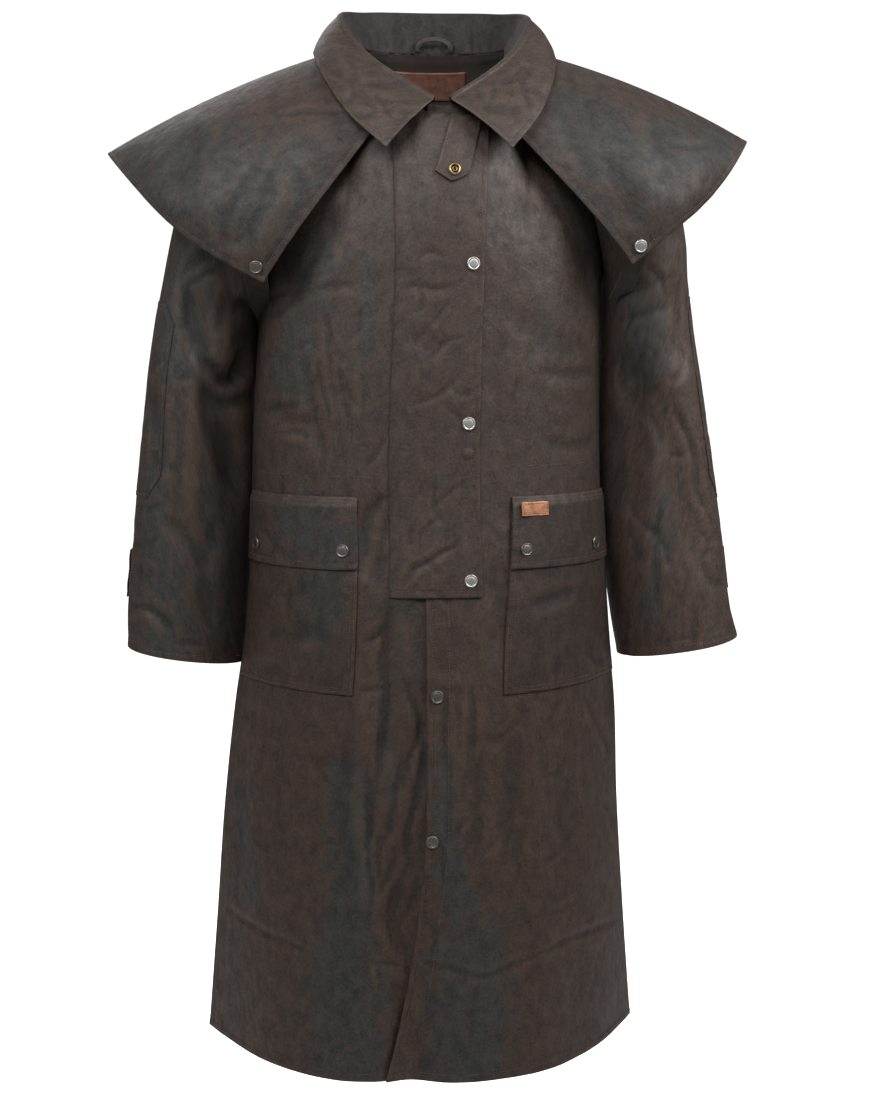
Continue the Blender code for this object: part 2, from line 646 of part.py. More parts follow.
def ring_cells(rings, normals, span, first_turn, last_turn):
    """The part of a sleeve's grid between two rings and two turns, with its normals."""
    rows = [index for index, ring in enumerate(SLEEVE_RINGS) if span[0] <= ring <= span[1]]
    columns = [int((turn + 90) / SLEEVE_TURN) for turn in np.arange(first_turn, last_turn + 1, SLEEVE_TURN)]
    return rings[rows][:, columns], normals[rows][:, columns]


def build_sleeves():
    turns = np.arange(-90, 270, SLEEVE_TURN)
    for side in ("right", "left"):
        sign = sign_of(side)
        station, turn = grid(SLEEVE_RINGS, turns)
        rings = sleeve_ring(side, station, turn)
        start = armhole(sign, turns) + np.array([sign * SLEEVE_GAP, 0, 0])
        points = np.concatenate([start[None], rings])
        normals = normals_of(points, wrap=True) * -sign
        wall(f"sleeve_{side}", points, "cloth", -WALL, 0.0, normals, wrap=True)
        normals = normals[1:]

        points, outer = ring_cells(rings, normals, PATCH_RINGS, *PATCH_TURNS[side])
        low, across = points.shape[0] - 2, points.shape[1] - 2
        corners = [((0, 0), 0), ((0, across), 1), ((low, across), 2), ((low, 0), 3)]
        wall(f"sleeve_patch_{side}", points, "cloth", SEWN_GAP, SEWN_GAP + WALL, outer, clipped=corners)

        points, outer = ring_cells(rings, normals, TAB_RINGS, *TAB_TURNS)
        wall(f"cuff_tab_{side}", points, "cloth", SEWN_GAP, SEWN_GAP + WALL, outer)


# Cape and collar, both worked out round the neck
def neck_round(turn):
    """The neck seam at a turn from the middle front (0) round the wearer's left to the middle back (180)."""
    front = neckline(-1, np.minimum(turn, 90))
    back = neckline(1, np.maximum(180 - turn, 0))
    return np.where((np.asarray(turn) <= 90)[..., None], front, back)


def outward(turn):
    angle = np.radians(turn)
    return np.stack([np.sin(angle), -np.cos(angle), np.zeros_like(angle)], axis=-1)


def mirrored(points, sign):
    """Points worked out for the wearer's left, moved to the right side about the neck's middle."""
    moved = points.copy()
    moved[..., 0] = NECK_CENTRE_X + sign * (points[..., 0] - NECK_CENTRE_X)
    return moved


def cape_points(side, turns, steps):
    """Lines from the neck to the cape's hem, bowed outward by their swell and upward by their lift."""
    step, turn = grid(steps, turns)
    table = CAPE[side]
    sign = sign_of(side)
    start = neck_round(turn) + outward(turn) * CAPE_NECK_OUT
    start = mirrored(start + np.array([0, 0, CAPE_NECK_LIFT]), sign)
    end = table.points("hem_", turn) * np.array([sign, 1, 1])
    points = start + (end - start) * step[..., None]
    late_bow, even_bow = 27 / 4 * step**2 * (1 - step), 4 * step * (1 - step)
    points += outward(turn) * np.array([sign, 1, 1]) * (table.at("swell", turn) * late_bow)[..., None]
    points[..., 2] += table.at("lift", turn) * even_bow
    return points


def build_cape():
    steps = np.linspace(0, 1, CAPE_STEPS + 1)
    for side in ("right", "left"):
        points = cape_points(side, CAPE_FRONT_TURNS, steps)
        points[:, -1, 1] -= SEAM
        normals = normals_of(points) * -sign_of(side)
        wall(f"cape_front_{side}", points, "cloth", 0.0, WALL, normals)
    right = cape_points("right", CAPE_BACK_TURNS, steps)
    left = cape_points("left", CAPE_BACK_TURNS, steps)
    points = np.concatenate([right, left[:, -2::-1]], axis=1)
    points[:, [0, -1], 1] += SEAM
    wall("cape_back", points, "cloth", 0.0, WALL, normals_of(points))


def collar_points(turns, shares):
    """The collar's fold: shares 0 to 1 climb the stand, 1 to 2 turn the roll, 2 to 3 come down the fall."""
    share, turn = grid(shares, turns)
    out = outward(turn)
    seam = neck_round(turn) - out * COLLAR_SEAM_INSET
    seam[..., 2] += COLLAR_SEAM_INSET
    roll = COLLAR.points("roll", turn)
    edge = COLLAR.points("edge", turn)
    for point in (roll, edge):
        point[..., 0] += NECK_CENTRE_X
    middle = roll + out * COLLAR_ROLL_RADIUS
    angle = np.pi * np.clip(share - 1, 0, 1)[..., None]
    up = np.array([0.0, 0.0, 1.0])
    over = middle + (up * np.sin(angle) - out * np.cos(angle)) * COLLAR_ROLL_RADIUS
    past = roll + out * 2 * COLLAR_ROLL_RADIUS
    climb = np.clip(share, 0, 1)[..., None]
    down = np.clip(share - 2, 0, 1)[..., None]
    rising = seam + (roll - seam) * climb
    falling = past + (edge - past) * down + (out + up) * (COLLAR_BOW * 4 * down * (1 - down))
    points = np.where((share <= 1)[..., None], rising, np.where((share >= 2)[..., None], falling, over))
    return points, COLLAR.at("uneven", turn)


def build_collar():
    half, uneven = collar_points(COLLAR_TURNS, COLLAR_SHARES)
    right, left = mirrored(half, -1.0), half.copy()
    edge_only = np.clip(np.asarray(COLLAR_SHARES) - 2, 0, 1)[:, None]
    right[..., 0] += uneven * edge_only
    left[..., 0] += uneven * edge_only
    points = np.concatenate([right, left[:, -2::-1]], axis=1)
    wall("collar", points, "cloth", 0.0, COLLAR_WALL, normals_of(points))


def build_hanger_loop():
    """A narrow loop sewn at the neck seam, standing a little off the inside of the collar."""
    back_neck, back_roll = neckline(1, 0.0), COLLAR.points("roll", 180.0)
    lean = (back_roll[1] - back_neck[1]) / back_roll[2]
    gap = COLLAR_SEAM_INSET + COLLAR_WALL + LOOP_THICK + SLEEVE_GAP
    seat = back_neck + np.array([LOOP_SHIFT, -gap, LOOP_SHIFT])
    along = np.linspace(0, math.pi, 11)
    arch = np.sin(along) ** 0.7
    x = seat[0] - LOOP_HALF_SPAN * np.cos(along)
    y = seat[1] + (lean * LOOP_RISE - LOOP_STAND_OFF) * arch - (x - NECK_CENTRE_X) ** 2 / (2 * NECK_HALF)
    path = np.stack([x, y, seat[2] + LOOP_RISE * arch], axis=-1)
    across = (path - seat) * np.array([1.0, 0.0, 1.0]) + np.array([0, 0, LOOP_THICK])
    strip("hanger_loop", path, across, LOOP_WIDTH, LOOP_THICK, "cloth_dark")


def build_throat_tab():
    """The unfastened throat tab, hanging on the storm flap from under the left collar."""
    step, across = grid(THROAT_TAB.rows[:, 0], np.linspace(-1, 1, 5))
    share = THROAT_TAB.at("share", step) + THROAT_TAB.at("half_share", step) * across
    level = THROAT_TAB.at("level", step) - THROAT_TAB.at("slant", step) * across
    level = level - THROAT_TAB.at("point", step) * (1 - np.abs(across))
    points = torso(-1, share, level)
    normals = torso_normals(-1, share, level)
    inner = storm_offset(STORM_EDGE_SHARE) + WALL + 3 * SEAM
    wall("throat_tab", points, "cloth", inner, inner + TAB_THICK, normals)
    seat, normal = points[3, 2], normals[3, 2]
    lift = inner + TAB_THICK + SEAM
    disc("throat_socket", seat + normal * lift, normal, SOCKET_RADIUS, SNAP_HEIGHT, "brass", hole=SOCKET_HOLE)


def build_cape_straps():
    """The band that holds each front corner of the cape to the underarm."""
    for side in ("right", "left"):
        sign = sign_of(side)
        patch = cape_points(side, CAPE_CORNER_TURNS, STRAP_STEPS)
        inward = normals_of(patch)[1, 1] * sign
        top = patch[1, 1] + inward * STRAP_UNDER_CAPE
        low = patch[2, 1] + inward * STRAP_UNDER_CAPE
        seat = sleeve_ring(side, *grid(STRAP_STATIONS, STRAP_TURNS))
        out = normals_of(seat)[1, 1] * -sign
        foot = seat[1, 1] + out * STRAP_OFF
        above = seat[0, 1] + out * (STRAP_OFF + STRAP_SLACK)
        path = np.array([top, low, (low + above) / 2 + inward * STRAP_SLACK, above, foot])
        hem = patch[1, 2] - patch[1, 0]
        foot_line = STRAP_FOOT_LINE * np.array([sign, 1, 1])
        weights = np.array([0.0, 0.0, 0.5, 1.0, 1.0])[:, None]
        across = hem / np.linalg.norm(hem) * (1 - weights) + foot_line * weights
        strip(f"cape_strap_{side}", path, across, STRAP_WIDTH, STRAP_THICK, "cloth")


def torso_seat(share, level, lift):
    """A place on the torso's front, moved out by a lift, and its normal."""
    share, level = np.array([share]), np.array([level])
    normal = torso_normals(-1, share, level)[0]
    return torso(-1, share, level)[0] + normal * lift, normal


def build_snaps():
    for place, level in STORM_SNAP_LEVELS:
        lift = storm_offset(STORM_SNAP_SHARE) + WALL + SNAP_GAP
        seat = torso_seat(STORM_SNAP_SHARE, level, lift)
        disc(f"storm_snap_{place}", *seat, SNAP_RADIUS, SNAP_HEIGHT, "steel")
    for place, drop in FRONT_SNAP_DROPS:
        seat = torso_seat(FRONT_SNAP_SHARE, UNDERARM_DROP - drop, WALL + LAP_GAP + SEAM)
        disc(f"front_snap_{place}", *seat, SNAP_RADIUS, SNAP_HEIGHT, "gunmetal")
    for side in ("right", "left"):
        sign = sign_of(side)
        for place, share, bulge in POCKET_SNAPS[side]:
            lift = FLAP_TOP_LIFT + bulge * POCKET_BULGE
            seat = torso_seat(sign * share, UNDERARM_DROP - POCKET_SNAP_DROP, lift)
            disc(f"pocket_snap_{side}_{place}", *seat, SNAP_RADIUS, SNAP_HEIGHT, "gunmetal")
        snap_turn, snap_step = CAPE_SNAPS[side]
        points = cape_points(side, snap_turn + CAPE_SNAP_TURNS, snap_step + CAPE_SNAP_STEPS)
        normal = normals_of(points)[1, 1] * -sign
        tone = "gunmetal" if side == "right" else "steel"
        disc(f"cape_snap_{side}", points[1, 1] + normal * WALL, normal, SNAP_RADIUS, SNAP_HEIGHT, tone)


def build_pocket_tag():
    """A bare leather tag on the left pocket's flap."""
    points, normals = torso_grid(-1, np.linspace(*TAG_SHARES, 5), UNDERARM_DROP - np.linspace(*TAG_DROPS, 3))
    lift = FLAP_TOP_LIFT + POCKET_BULGE
    wall("pocket_tag", points, "leather_tan", lift, lift + TAG_THICK, normals)


def main():
    for old in list(bpy.data.objects):
        bpy.data.objects.remove(old, do_unlink=True)
    build_fronts()
    build_back()
    build_neck_facing()
    build_storm_flap()
    build_pockets()
    build_sleeves()
    build_cape()
    build_collar()
    build_hanger_loop()
    build_throat_tab()
    build_cape_straps()
    build_snaps()
    build_pocket_tag()


main()
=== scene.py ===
"""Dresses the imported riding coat: creased waxed cloth, stitching, snaps, leather, and a plain studio stage.

Lengths are metres. +Z is up, the front faces -Y and the wearer's left is +X. The origin is at the neck.
"""

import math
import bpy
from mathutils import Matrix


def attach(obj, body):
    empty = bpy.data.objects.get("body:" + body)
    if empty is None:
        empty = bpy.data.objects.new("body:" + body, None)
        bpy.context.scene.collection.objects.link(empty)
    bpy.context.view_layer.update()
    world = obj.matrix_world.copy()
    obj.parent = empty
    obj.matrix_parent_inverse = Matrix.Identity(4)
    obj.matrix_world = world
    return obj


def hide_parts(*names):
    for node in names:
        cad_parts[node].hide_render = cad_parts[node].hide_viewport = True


bl_info = {
    "name": "Oilskin riding coat",
    "version": (1, 0, 0),
    "blender": (4, 5, 0),
    "location": "3D View > Sidebar > Coat",
    "description": "Builds the cloth, stitching, snaps and stage of a full-length oilskin riding coat",
    "category": "Object",
}

import bpy
import numpy as np

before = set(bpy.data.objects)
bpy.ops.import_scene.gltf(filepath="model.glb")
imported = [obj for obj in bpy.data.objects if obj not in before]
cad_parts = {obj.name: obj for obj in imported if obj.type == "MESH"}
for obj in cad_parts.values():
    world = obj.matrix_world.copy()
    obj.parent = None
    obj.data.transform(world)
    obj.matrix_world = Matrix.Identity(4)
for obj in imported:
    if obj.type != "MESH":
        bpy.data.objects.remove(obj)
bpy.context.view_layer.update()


# Tables and small helpers
def cubic(knots, values, key):
    """Hermite cubic between the two knots round the key, with slopes from the neighbouring knots."""
    slopes = np.gradient(values, knots)
    key = np.clip(key, knots[0], knots[-1])
    low = np.clip(np.searchsorted(knots, key) - 1, 0, len(knots) - 2)
    span = knots[low + 1] - knots[low]
    t = (key - knots[low]) / span
    rise = values[low + 1] - values[low]
    start, end = slopes[low] * span, slopes[low + 1] * span
    return values[low] + start * t + (3 * rise - 2 * start - end) * t**2 + (start + end - 2 * rise) * t**3


class Table:
    """Named columns read from text, with a smooth cubic between the rows. The first column is the key."""

    def __init__(self, text):
        self.names, *rows = [line.split() for line in text.splitlines() if line.strip()]
        self.rows = np.array(rows, float)

    def at(self, name, key):
        return cubic(self.rows[:, 0], self.rows[:, self.names.index(name)], key)

    def points(self, stem, key):
        """The x, y, z columns whose names start with the stem, as points."""
        return np.stack([self.at(stem + axis, key) for axis in "xyz"], axis=-1)

    def named_rows(self):
        return [dict(zip(self.names, row)) for row in self.rows]


CREASE, ZONE = (1000, 1000, 1), (1000, 1)


def drawn_paths(shape, text):
    """Creases or zones, one on a line: the numbers of its shape, then the x and drop of its path in mm."""
    rows = [np.array(line.split(), float) for line in text.strip().splitlines()]
    count = len(shape)
    return tuple((*(row[:count] / shape), row[count:].reshape(-1, 2) / 1000) for row in rows)


def blend(start, end, at):
    """A soft step, 3t² - 2t³, from 0 at start to 1 at end."""
    t = np.clip((np.asarray(at, float) - start) / (end - start), 0, 1)
    return t * t * (3 - 2 * t)


def bell(at, middle, width):
    """A Gaussian hump, 1 at the middle."""
    return np.exp(-(((at - middle) / width) ** 2))


def sign_of(side):
    return -1.0 if side == "right" else 1.0


def grid(rows, columns):
    return np.meshgrid(np.asarray(rows, float), np.asarray(columns, float), indexing="ij")


def within(span, share):
    """The place at a share of the way from a span's start to its end."""
    return span[0] + (span[1] - span[0]) * share


def unit(vectors):
    return vectors / np.maximum(np.linalg.norm(vectors, axis=-1, keepdims=True), 1e-12)


def run_along(points):
    """The running length from the first point of a line, or first row of a grid, to each of the others."""
    steps = np.linalg.norm(np.diff(points, axis=0), axis=-1)
    return np.concatenate([np.zeros((1, *steps.shape[1:])), np.cumsum(steps, axis=0)])


def normals_of(points, wrap=False):
    """Unit normals of a grid: the cross product of its differences along the rows and the columns."""
    padded = np.concatenate([points[:, -1:], points, points[:, :1]], axis=1) if wrap else points
    normals = np.cross(np.gradient(padded, axis=1), np.gradient(padded, axis=0))
    return unit(normals[:, 1:-1] if wrap else normals)


# Sizes shared with the solids
WALL = 0.0016
LAP_GAP = 0.0009
SEWN_GAP = 0.0009
SEAM = 0.0004
SNAP_GAP = 0.0005
SLEEVE_GAP = 0.0014
UNDERLAP_SINK = 0.0040
COLLAR_WALL = 0.0022
FACING_WALL = 0.0010
UNDERARM_DROP = 0.280
HEM_DROP = 1.222

BODY = Table("""
    drop centre_x half_width front back square pinch
    0.280 0.003 0.2090 0.150 0.126 2.2 0.55
    0.400 -0.002 0.2125 0.154 0.120 2.2 0.55
    0.475 -0.004 0.2150 0.155 0.116 2.2 0.55
    0.545 -0.004 0.2170 0.159 0.120 2.2 0.56
    0.625 -0.003 0.2210 0.167 0.128 2.3 0.60
    0.720 -0.003 0.2290 0.174 0.138 2.4 0.74
    0.800 -0.005 0.2390 0.180 0.146 2.5 0.86
    0.930 -0.010 0.2490 0.187 0.158 2.7 0.94
    1.070 -0.011 0.2590 0.195 0.170 2.9 1.00
    1.222 -0.0115 0.2710 0.204 0.184 3.0 1.05
""")
FOLDS = Table("""
    face top_x top_drop bottom_x bottom_drop width depth
    -1 -0.062 0.520 -0.092 0.640 0.014 0.005
    -1 -0.036 0.900 -0.037 1.290 0.030 0.016
    -1 -0.075 0.740 -0.090 1.100 0.022 -0.005
    -1 0.075 0.760 0.095 1.240 0.030 0.007
    -1 0.150 0.800 0.170 1.260 0.028 0.006
    -1 -0.150 0.780 -0.165 1.260 0.030 0.006
    1 0.000 0.560 0.004 1.300 0.040 0.012
    1 -0.120 0.600 -0.140 1.280 0.030 0.009
    1 0.125 0.580 0.150 1.300 0.034 0.010
""")
NECK_CENTRE_X = 0.006
NECK_HALF = 0.088
NECK_SIDE = np.array([NECK_HALF, 0.010, -0.004])
NECK_FRONT_REACH = 0.122
NECK_FRONT_FALL = 0.082
NECK_BACK_REACH = 0.075
NECK_BACK_RISE = 0.004
NECK_SHARE = 0.54
SHOULDER_TIP = np.array([0.222, 0.000, -0.056])
ARMHOLE_CUT = 0.16
CHEST_LEAVE = 0.24
NECK_ARRIVE = np.array([0.0, 0.10, 0.15])
SHOULDER_ARRIVE = np.array([0.0, 0.20, 0.02])

SLEEVE_STATIONS = "station outer_x outer_drop inner_x inner_drop centre_y half_depth inner_back"
SLEEVES = {
    "right": Table(SLEEVE_STATIONS + """
        1 0.254 0.084 0.2090 0.290 -0.005 0.079 0.004
        2 0.286 0.136 0.2085 0.302 -0.004 0.084 0.014
        3 0.310 0.213 0.2085 0.325 -0.003 0.085 0.026
        4 0.330 0.307 0.2110 0.362 -0.002 0.082 0.034
        5 0.345 0.400 0.2160 0.425 -0.005 0.078 0.038
        6 0.360 0.542 0.2195 0.554 -0.010 0.072 0.042
        7 0.374 0.668 0.2270 0.690 -0.014 0.068 0.046
        8 0.375 0.728 0.2320 0.755 -0.016 0.066 0.046
    """),
    "left": Table(SLEEVE_STATIONS + """
        1 0.254 0.082 0.2148 0.290 -0.005 0.079 0.002
        2 0.286 0.134 0.2143 0.302 -0.004 0.084 0.008
        3 0.311 0.213 0.2140 0.325 -0.003 0.085 0.015
        4 0.320 0.300 0.2135 0.362 -0.002 0.082 0.022
        5 0.335 0.402 0.2120 0.425 -0.005 0.078 0.028
        6 0.359 0.548 0.2140 0.560 -0.010 0.072 0.034
        7 0.373 0.664 0.2300 0.690 -0.014 0.068 0.030
        8 0.386 0.722 0.2400 0.749 -0.016 0.066 0.026
    """),
}
SLEEVE_FOLDS = Table("""
    side turn turn_end station station_end width depth
    -1 20 -12 3.2 5.6 20 0.009
    -1 -32 -40 4.4 6.4 18 0.010
    -1 172 205 4.0 6.2 22 0.008
    1 20 34 3.4 5.0 16 0.007
    1 0 24 4.8 6.8 18 0.008
    1 -30 -34 4.2 6.4 18 0.009
    1 205 215 4.0 6.2 22 0.008
""")
PATCH_TURNS = {"right": (36, 144), "left": (54, 180)}
PATCH_STATIONS = (4.0, 6.0)
TAB_STATIONS = (6.5, 7.0)
TAB_TURNS = (90, 198)

CAPE_NECK_OUT = 0.011
CAPE_NECK_LIFT = 0.0030
CAPE_COLUMNS = "turn  hem_x  hem_y  hem_z  swell lift"
CAPE_BACK_ROWS = """
    118 0.366 0.075 -0.152 0.022 0.014
    145 0.270 0.150 -0.232 0.034 0.018
    180 0.000 0.182 -0.290 0.020 0.010
"""
CAPE = {
    "right": Table(CAPE_COLUMNS + """
        28 0.201 -0.122 -0.288 0.010 0.000
        44 0.262 -0.122 -0.254 0.030 0.006
        58 0.305 -0.104 -0.222 0.038 0.008
        74 0.346 -0.066 -0.181 0.030 0.012
        92 0.387 0.004 -0.134 0.002 0.012
    """ + CAPE_BACK_ROWS),
    "left": Table(CAPE_COLUMNS + """
        28 0.230 -0.122 -0.266 0.010 0.000
        44 0.276 -0.116 -0.228 0.030 0.006
        58 0.315 -0.096 -0.197 0.038 0.008
        74 0.354 -0.060 -0.158 0.030 0.012
        92 0.392 0.004 -0.112 0.002 0.012
    """ + CAPE_BACK_ROWS),
}
CAPE_FRONT_SPAN = (28, 92)
CAPE_BACK_SPAN = (92, 180)
CAPE_CORNER_TURNS = (31, 34, 37)
CAPE_SNAPS = {"right": (31.6, 0.953), "left": (33.0, 0.952)}
CAPE_SNAP_TURNS = np.array([-3.0, 0.0, 3.0])
CAPE_SNAP_STEPS = np.array([-0.035, 0.0, 0.035])

COLLAR_ROLL_RADIUS = 0.0035
COLLAR_SEAM_INSET = 0.0020
COLLAR_BOW = 0.0028
COLLAR_SPAN = (9, 180)
COLLAR = Table("""
    turn rollx rolly rollz edgex edgey edgez uneven
    9 0.0090 -0.1240 -0.0805 0.072 -0.1560 -0.1370 0.006
    32 0.066 -0.0780 -0.0380 0.108 -0.1230 -0.0980 0.003
    80 0.110 0.0000 0.0280 0.145 -0.0080 -0.0127 0.000
    130 0.078 0.0690 0.0460 0.108 0.0930 -0.0097 0.000
    180 0.000 0.0910 0.0500 0.000 0.1230 -0.0077 0.000
""")

POCKET_EDGE_SHARE = 0.415
POCKET_END_SHARE = 0.984
POCKET_SLANT = 0.075
POCKET_SLANT_END = 0.76
POCKET_SLANT_DROP = 0.99
STORM_EDGE_SHARE = 0.25
UNDERLAP_SHARE = -0.13
OVERLAP_SHARE = -0.065
FLAP_TOP_DROP = 0.536
POCKET_TOP_DROP = 0.557
FLAP_BOTTOM_DROP = 0.620
POCKET_BOTTOM_DROP = 0.766
STORM_BOTTOM_DROP = 0.651
STORM_TOP_LEVEL = 0.93
STORM_SHARES = (-0.25, 0.235)
COVERED_SNAPS = ((0.0005, 0.0929, 0.0105, 0.0012), (0.0331, 0.4846, 0.0052, 0.0014))
LAP_START, LAP_END = 0.16, 0.34
STORM_STEP_START, STORM_STEP_END = -0.17, -0.09
SINK_START, SINK_END = -0.42, -0.25
SINK_FULL_DROP = 0.85
EDGE_SWING = Table("""
    drop share
    0.280 0.000
    0.655 0.007
    0.800 0.020
    0.950 0.037
    1.060 -0.004
    1.140 -0.060
    1.222 -0.135
""")
POCKET_BULGE = 0.0022
FLAP_LIFT = 0.0006
TAB_THICK = 0.0020
THROAT_TAB = Table("""
    step share half_share level slant point
    0.00 0.120 0.077 0.870 0.035 0.000
    0.30 0.097 0.077 0.760 0.030 0.000
    0.60 0.074 0.077 0.650 0.025 0.000
    0.85 0.055 0.077 0.5585 0.021 0.010
    1.00 0.0435 0.077 0.527 0.018 0.045
""")
STRAP_STEPS = (0.86, 0.90, 0.96)
STRAP_STATIONS = {"right": (2.85, 3.15, 3.45), "left": (2.5, 2.8, 3.1)}
STRAP_TURNS = {"right": (-86, -70, -54), "left": (-56, -40, -24)}
STRAP_SHIFT = {"right": 0.008, "left": 0.0}
STRAP_REACH = {"right": 0.12, "left": 0.04}
STRAP_FOOT_LINE = np.array([0.78, -0.54, 0.32])
STRAP_SLACK = 0.004
STRAP_OFF = 0.0047
STRAP_UNDER_CAPE = 0.0035
STRAP_WIDTH = 0.034
STRAP_THICK = 0.0018
STRAP_ROWS = 40
LOOP_WIDTH = 0.005
LOOP_THICK = 0.0014
LOOP_HALF_SPAN = 0.021
LOOP_RISE = 0.0155
LOOP_STAND_OFF = 0.0065
LOOP_SHIFT = 0.004
TAG_THICK = 0.0012
TAG_SHARES = (0.455, 0.600)
TAG_DROPS = (0.543, 0.559)
TAG_INSET = 0.002
LABEL_SHARES = (-0.19, 0.19)
LABEL_LEVELS = (0.758, 0.90)
LABEL_INSET = 0.0022

# Creases: half-width and depth inward in mm (negative stands out), the lip raised beside it, and the path
FRONT_CREASES = drawn_paths(CREASE, """
    20 6 0.5 -112 189 -137 233 -157 263 -178 322
    9 2.1 0.4 -155 377 -148 424 -139 470 -135 503
    12 2.2 0.5 -206 424 -172 448 -139 456
    12 1.2 0.4 -44 343 -10 360 22 368
    16 1 0.4 -39 515 -11 538 1 584
    10 1.6 0.5 118 389 163 395 200 392
    11 1.6 0.5 120 470 168 480 204 470
    18 1.8 0.4 72 308 108 342 147 366 203 360
    14 1.2 0.4 72 330 68 412 73 490
    16 3 0.4 92 180 120 240 128 300
    12 2.8 0.5 59 600 71 667 64 735
    16 6 0.5 -62 655 -67 759 -64 865
    12 5.6 -0.5 -67 795 -80 858 -84 905 -81 960
    20 4 0.3 -102 790 -110 889 -113 1010
    12 4.5 0.4 -47 975 -52 1032 -45 1085
    5 1.9 0.9 -267 1062 -233 1065 -205 1069 -177 1072 -150 1078
    5 1.9 0.9 -32 1078 10 1086 51 1097 83 1091 125 1079
    5 1.9 0.9 115 1081 170 1076 207 1080 250 1094
    5 2.4 0.8 178 776 202 823 222 863 236 893
    5 2.2 0.8 210 918 227 947 242 975
    18 2.6 0.3 96 775 86 869 93 990
    15 2.6 0.3 35 794 44 877 34 982
    18 2.6 0.3 142 854 157 955 148 1025
    18 2.6 0.3 -187 807 -194 904 -189 1011
    12 2.2 0.3 -233 845 -241 958 -245 1045
    9 2.2 0.6 104 664 133 659 167 650
    8 2.2 0.6 180 710 193 736 210 760
    14 2.2 0.4 -205 714 -162 697 -117 706
    10 1.6 0.4 -174 660 -162 689 -167 725
    4.2 1.2 0.8 -139 367 -136 405 -128 435 -126 462
    4 1 0.8 -128 359 -122 397 -118 431
    4.2 1.2 -0.8 -116 370 -113 405 -105 435 -104 462
    4 1 0.8 -107 393 -101 420 -86 437
    5 1.3 0.6 -131 321 -126 348 -129 371
    7 1.8 0.6 -195 332 -175 315 -159 283 -134 234
    6 1.3 0.6 -150 300 -125 293 -91 292
    6 1.6 0.6 -204 440 -184 433 -155 430
    4 1 -0.7 -92 382 -85 412 -88 446
    4 1 0.7 -62 461 -72 484 -93 511
    4 0.9 0.7 -140 451 -132 485 -136 514
    5 0.9 0.7 -46 296 -28 293 -5 296 29 289
    6 1 0.6 -28 264 -11 254 12 262
    5 0.9 0.7 17 303 -5 331 -32 363
    4.5 0.9 0.7 29 348 6 359 -13 382
    4.5 1 0.7 25 393 -2 417 -39 431
    4.5 0.9 -0.7 10 400 25 416 40 412
    5 0.9 0.7 6 431 25 444 33 457
    6 3 0.8 -62 528 -72 544 -83 577 -87 609
    5 2.6 -0.8 -58 548 -65 584 -77 625 -89 645
    5 2.2 0.8 -78 540 -86 557 -90 585
    5 2.2 0.8 -59 596 -67 620 -75 645
    5.5 2.6 0.8 -90 706 -76 698 -63 681
    6 2.6 -0.8 -59 665 -63 697 -68 730 -60 762
    4.5 2.1 0.9 -43 640 -31 620 -11 609 5 598 22 590
    4 0.7 0.8 -11 551 14 527 38 512
    4 0.6 0.8 -27 593 -19 575 6 555
    6 3.6 0.8 -44 733 -37 763 -22 799 -20 849 -21 890
    5.5 3.6 -0.8 -62 744 -67 789 -72 849 -80 889
    5 3 0.8 -29 779 -25 804 -40 849 -45 889
    5.5 3.6 0.8 -45 829 -52 874 -59 915 -70 955
    5 3.4 -0.8 -25 849 -30 890 -40 936 -35 968
    5 3 0.8 -80 889 -86 940 -81 986 -83 1027
    5.5 3 0.8 -50 946 -60 977 -76 1006
    4.5 2.9 0.8 -27 978 -32 1010 -45 1040
    5 3 -0.8 -70 914 -73 950 -70 991
    4 1.5 0.8 -86 1078 -61 1083 -40 1088
    6 2.4 0.7 8 753 5 808 10 873 7 934
    5.5 2.2 -0.7 36 744 38 804 30 864
    4 1.8 0.8 -10 1073 -5 1053 -8 1037
""")
BACK_CREASES = drawn_paths(CREASE, """
    18 4 0.4 -120 330 -100 420 -85 500
    16 3.8 0.4 130 320 105 410 95 490
    12 2.8 0.6 -150 500 -80 518 -20 512
    12 2.6 0.6 20 505 80 522 160 502
    9 2.2 0.6 -60 545 0 556 70 548
    20 4.6 0.3 -60 560 -66 720 -60 900
    20 4.4 0.3 65 570 60 740 68 930
    22 4 0.3 -180 640 -190 800 -195 980
    20 4 0.3 185 660 195 820 200 1000
    5 1.7 0.9 -240 1062 -120 1082 -10 1088
    5 1.7 0.9 -10 1088 110 1080 235 1066
    5.5 1.8 0.9 -200 720 -90 734 10 736 100 730 195 716
    14 3 0.5 -150 860 -120 930 -128 1010
    12 2.8 0.5 30 900 18 980 28 1050
""")
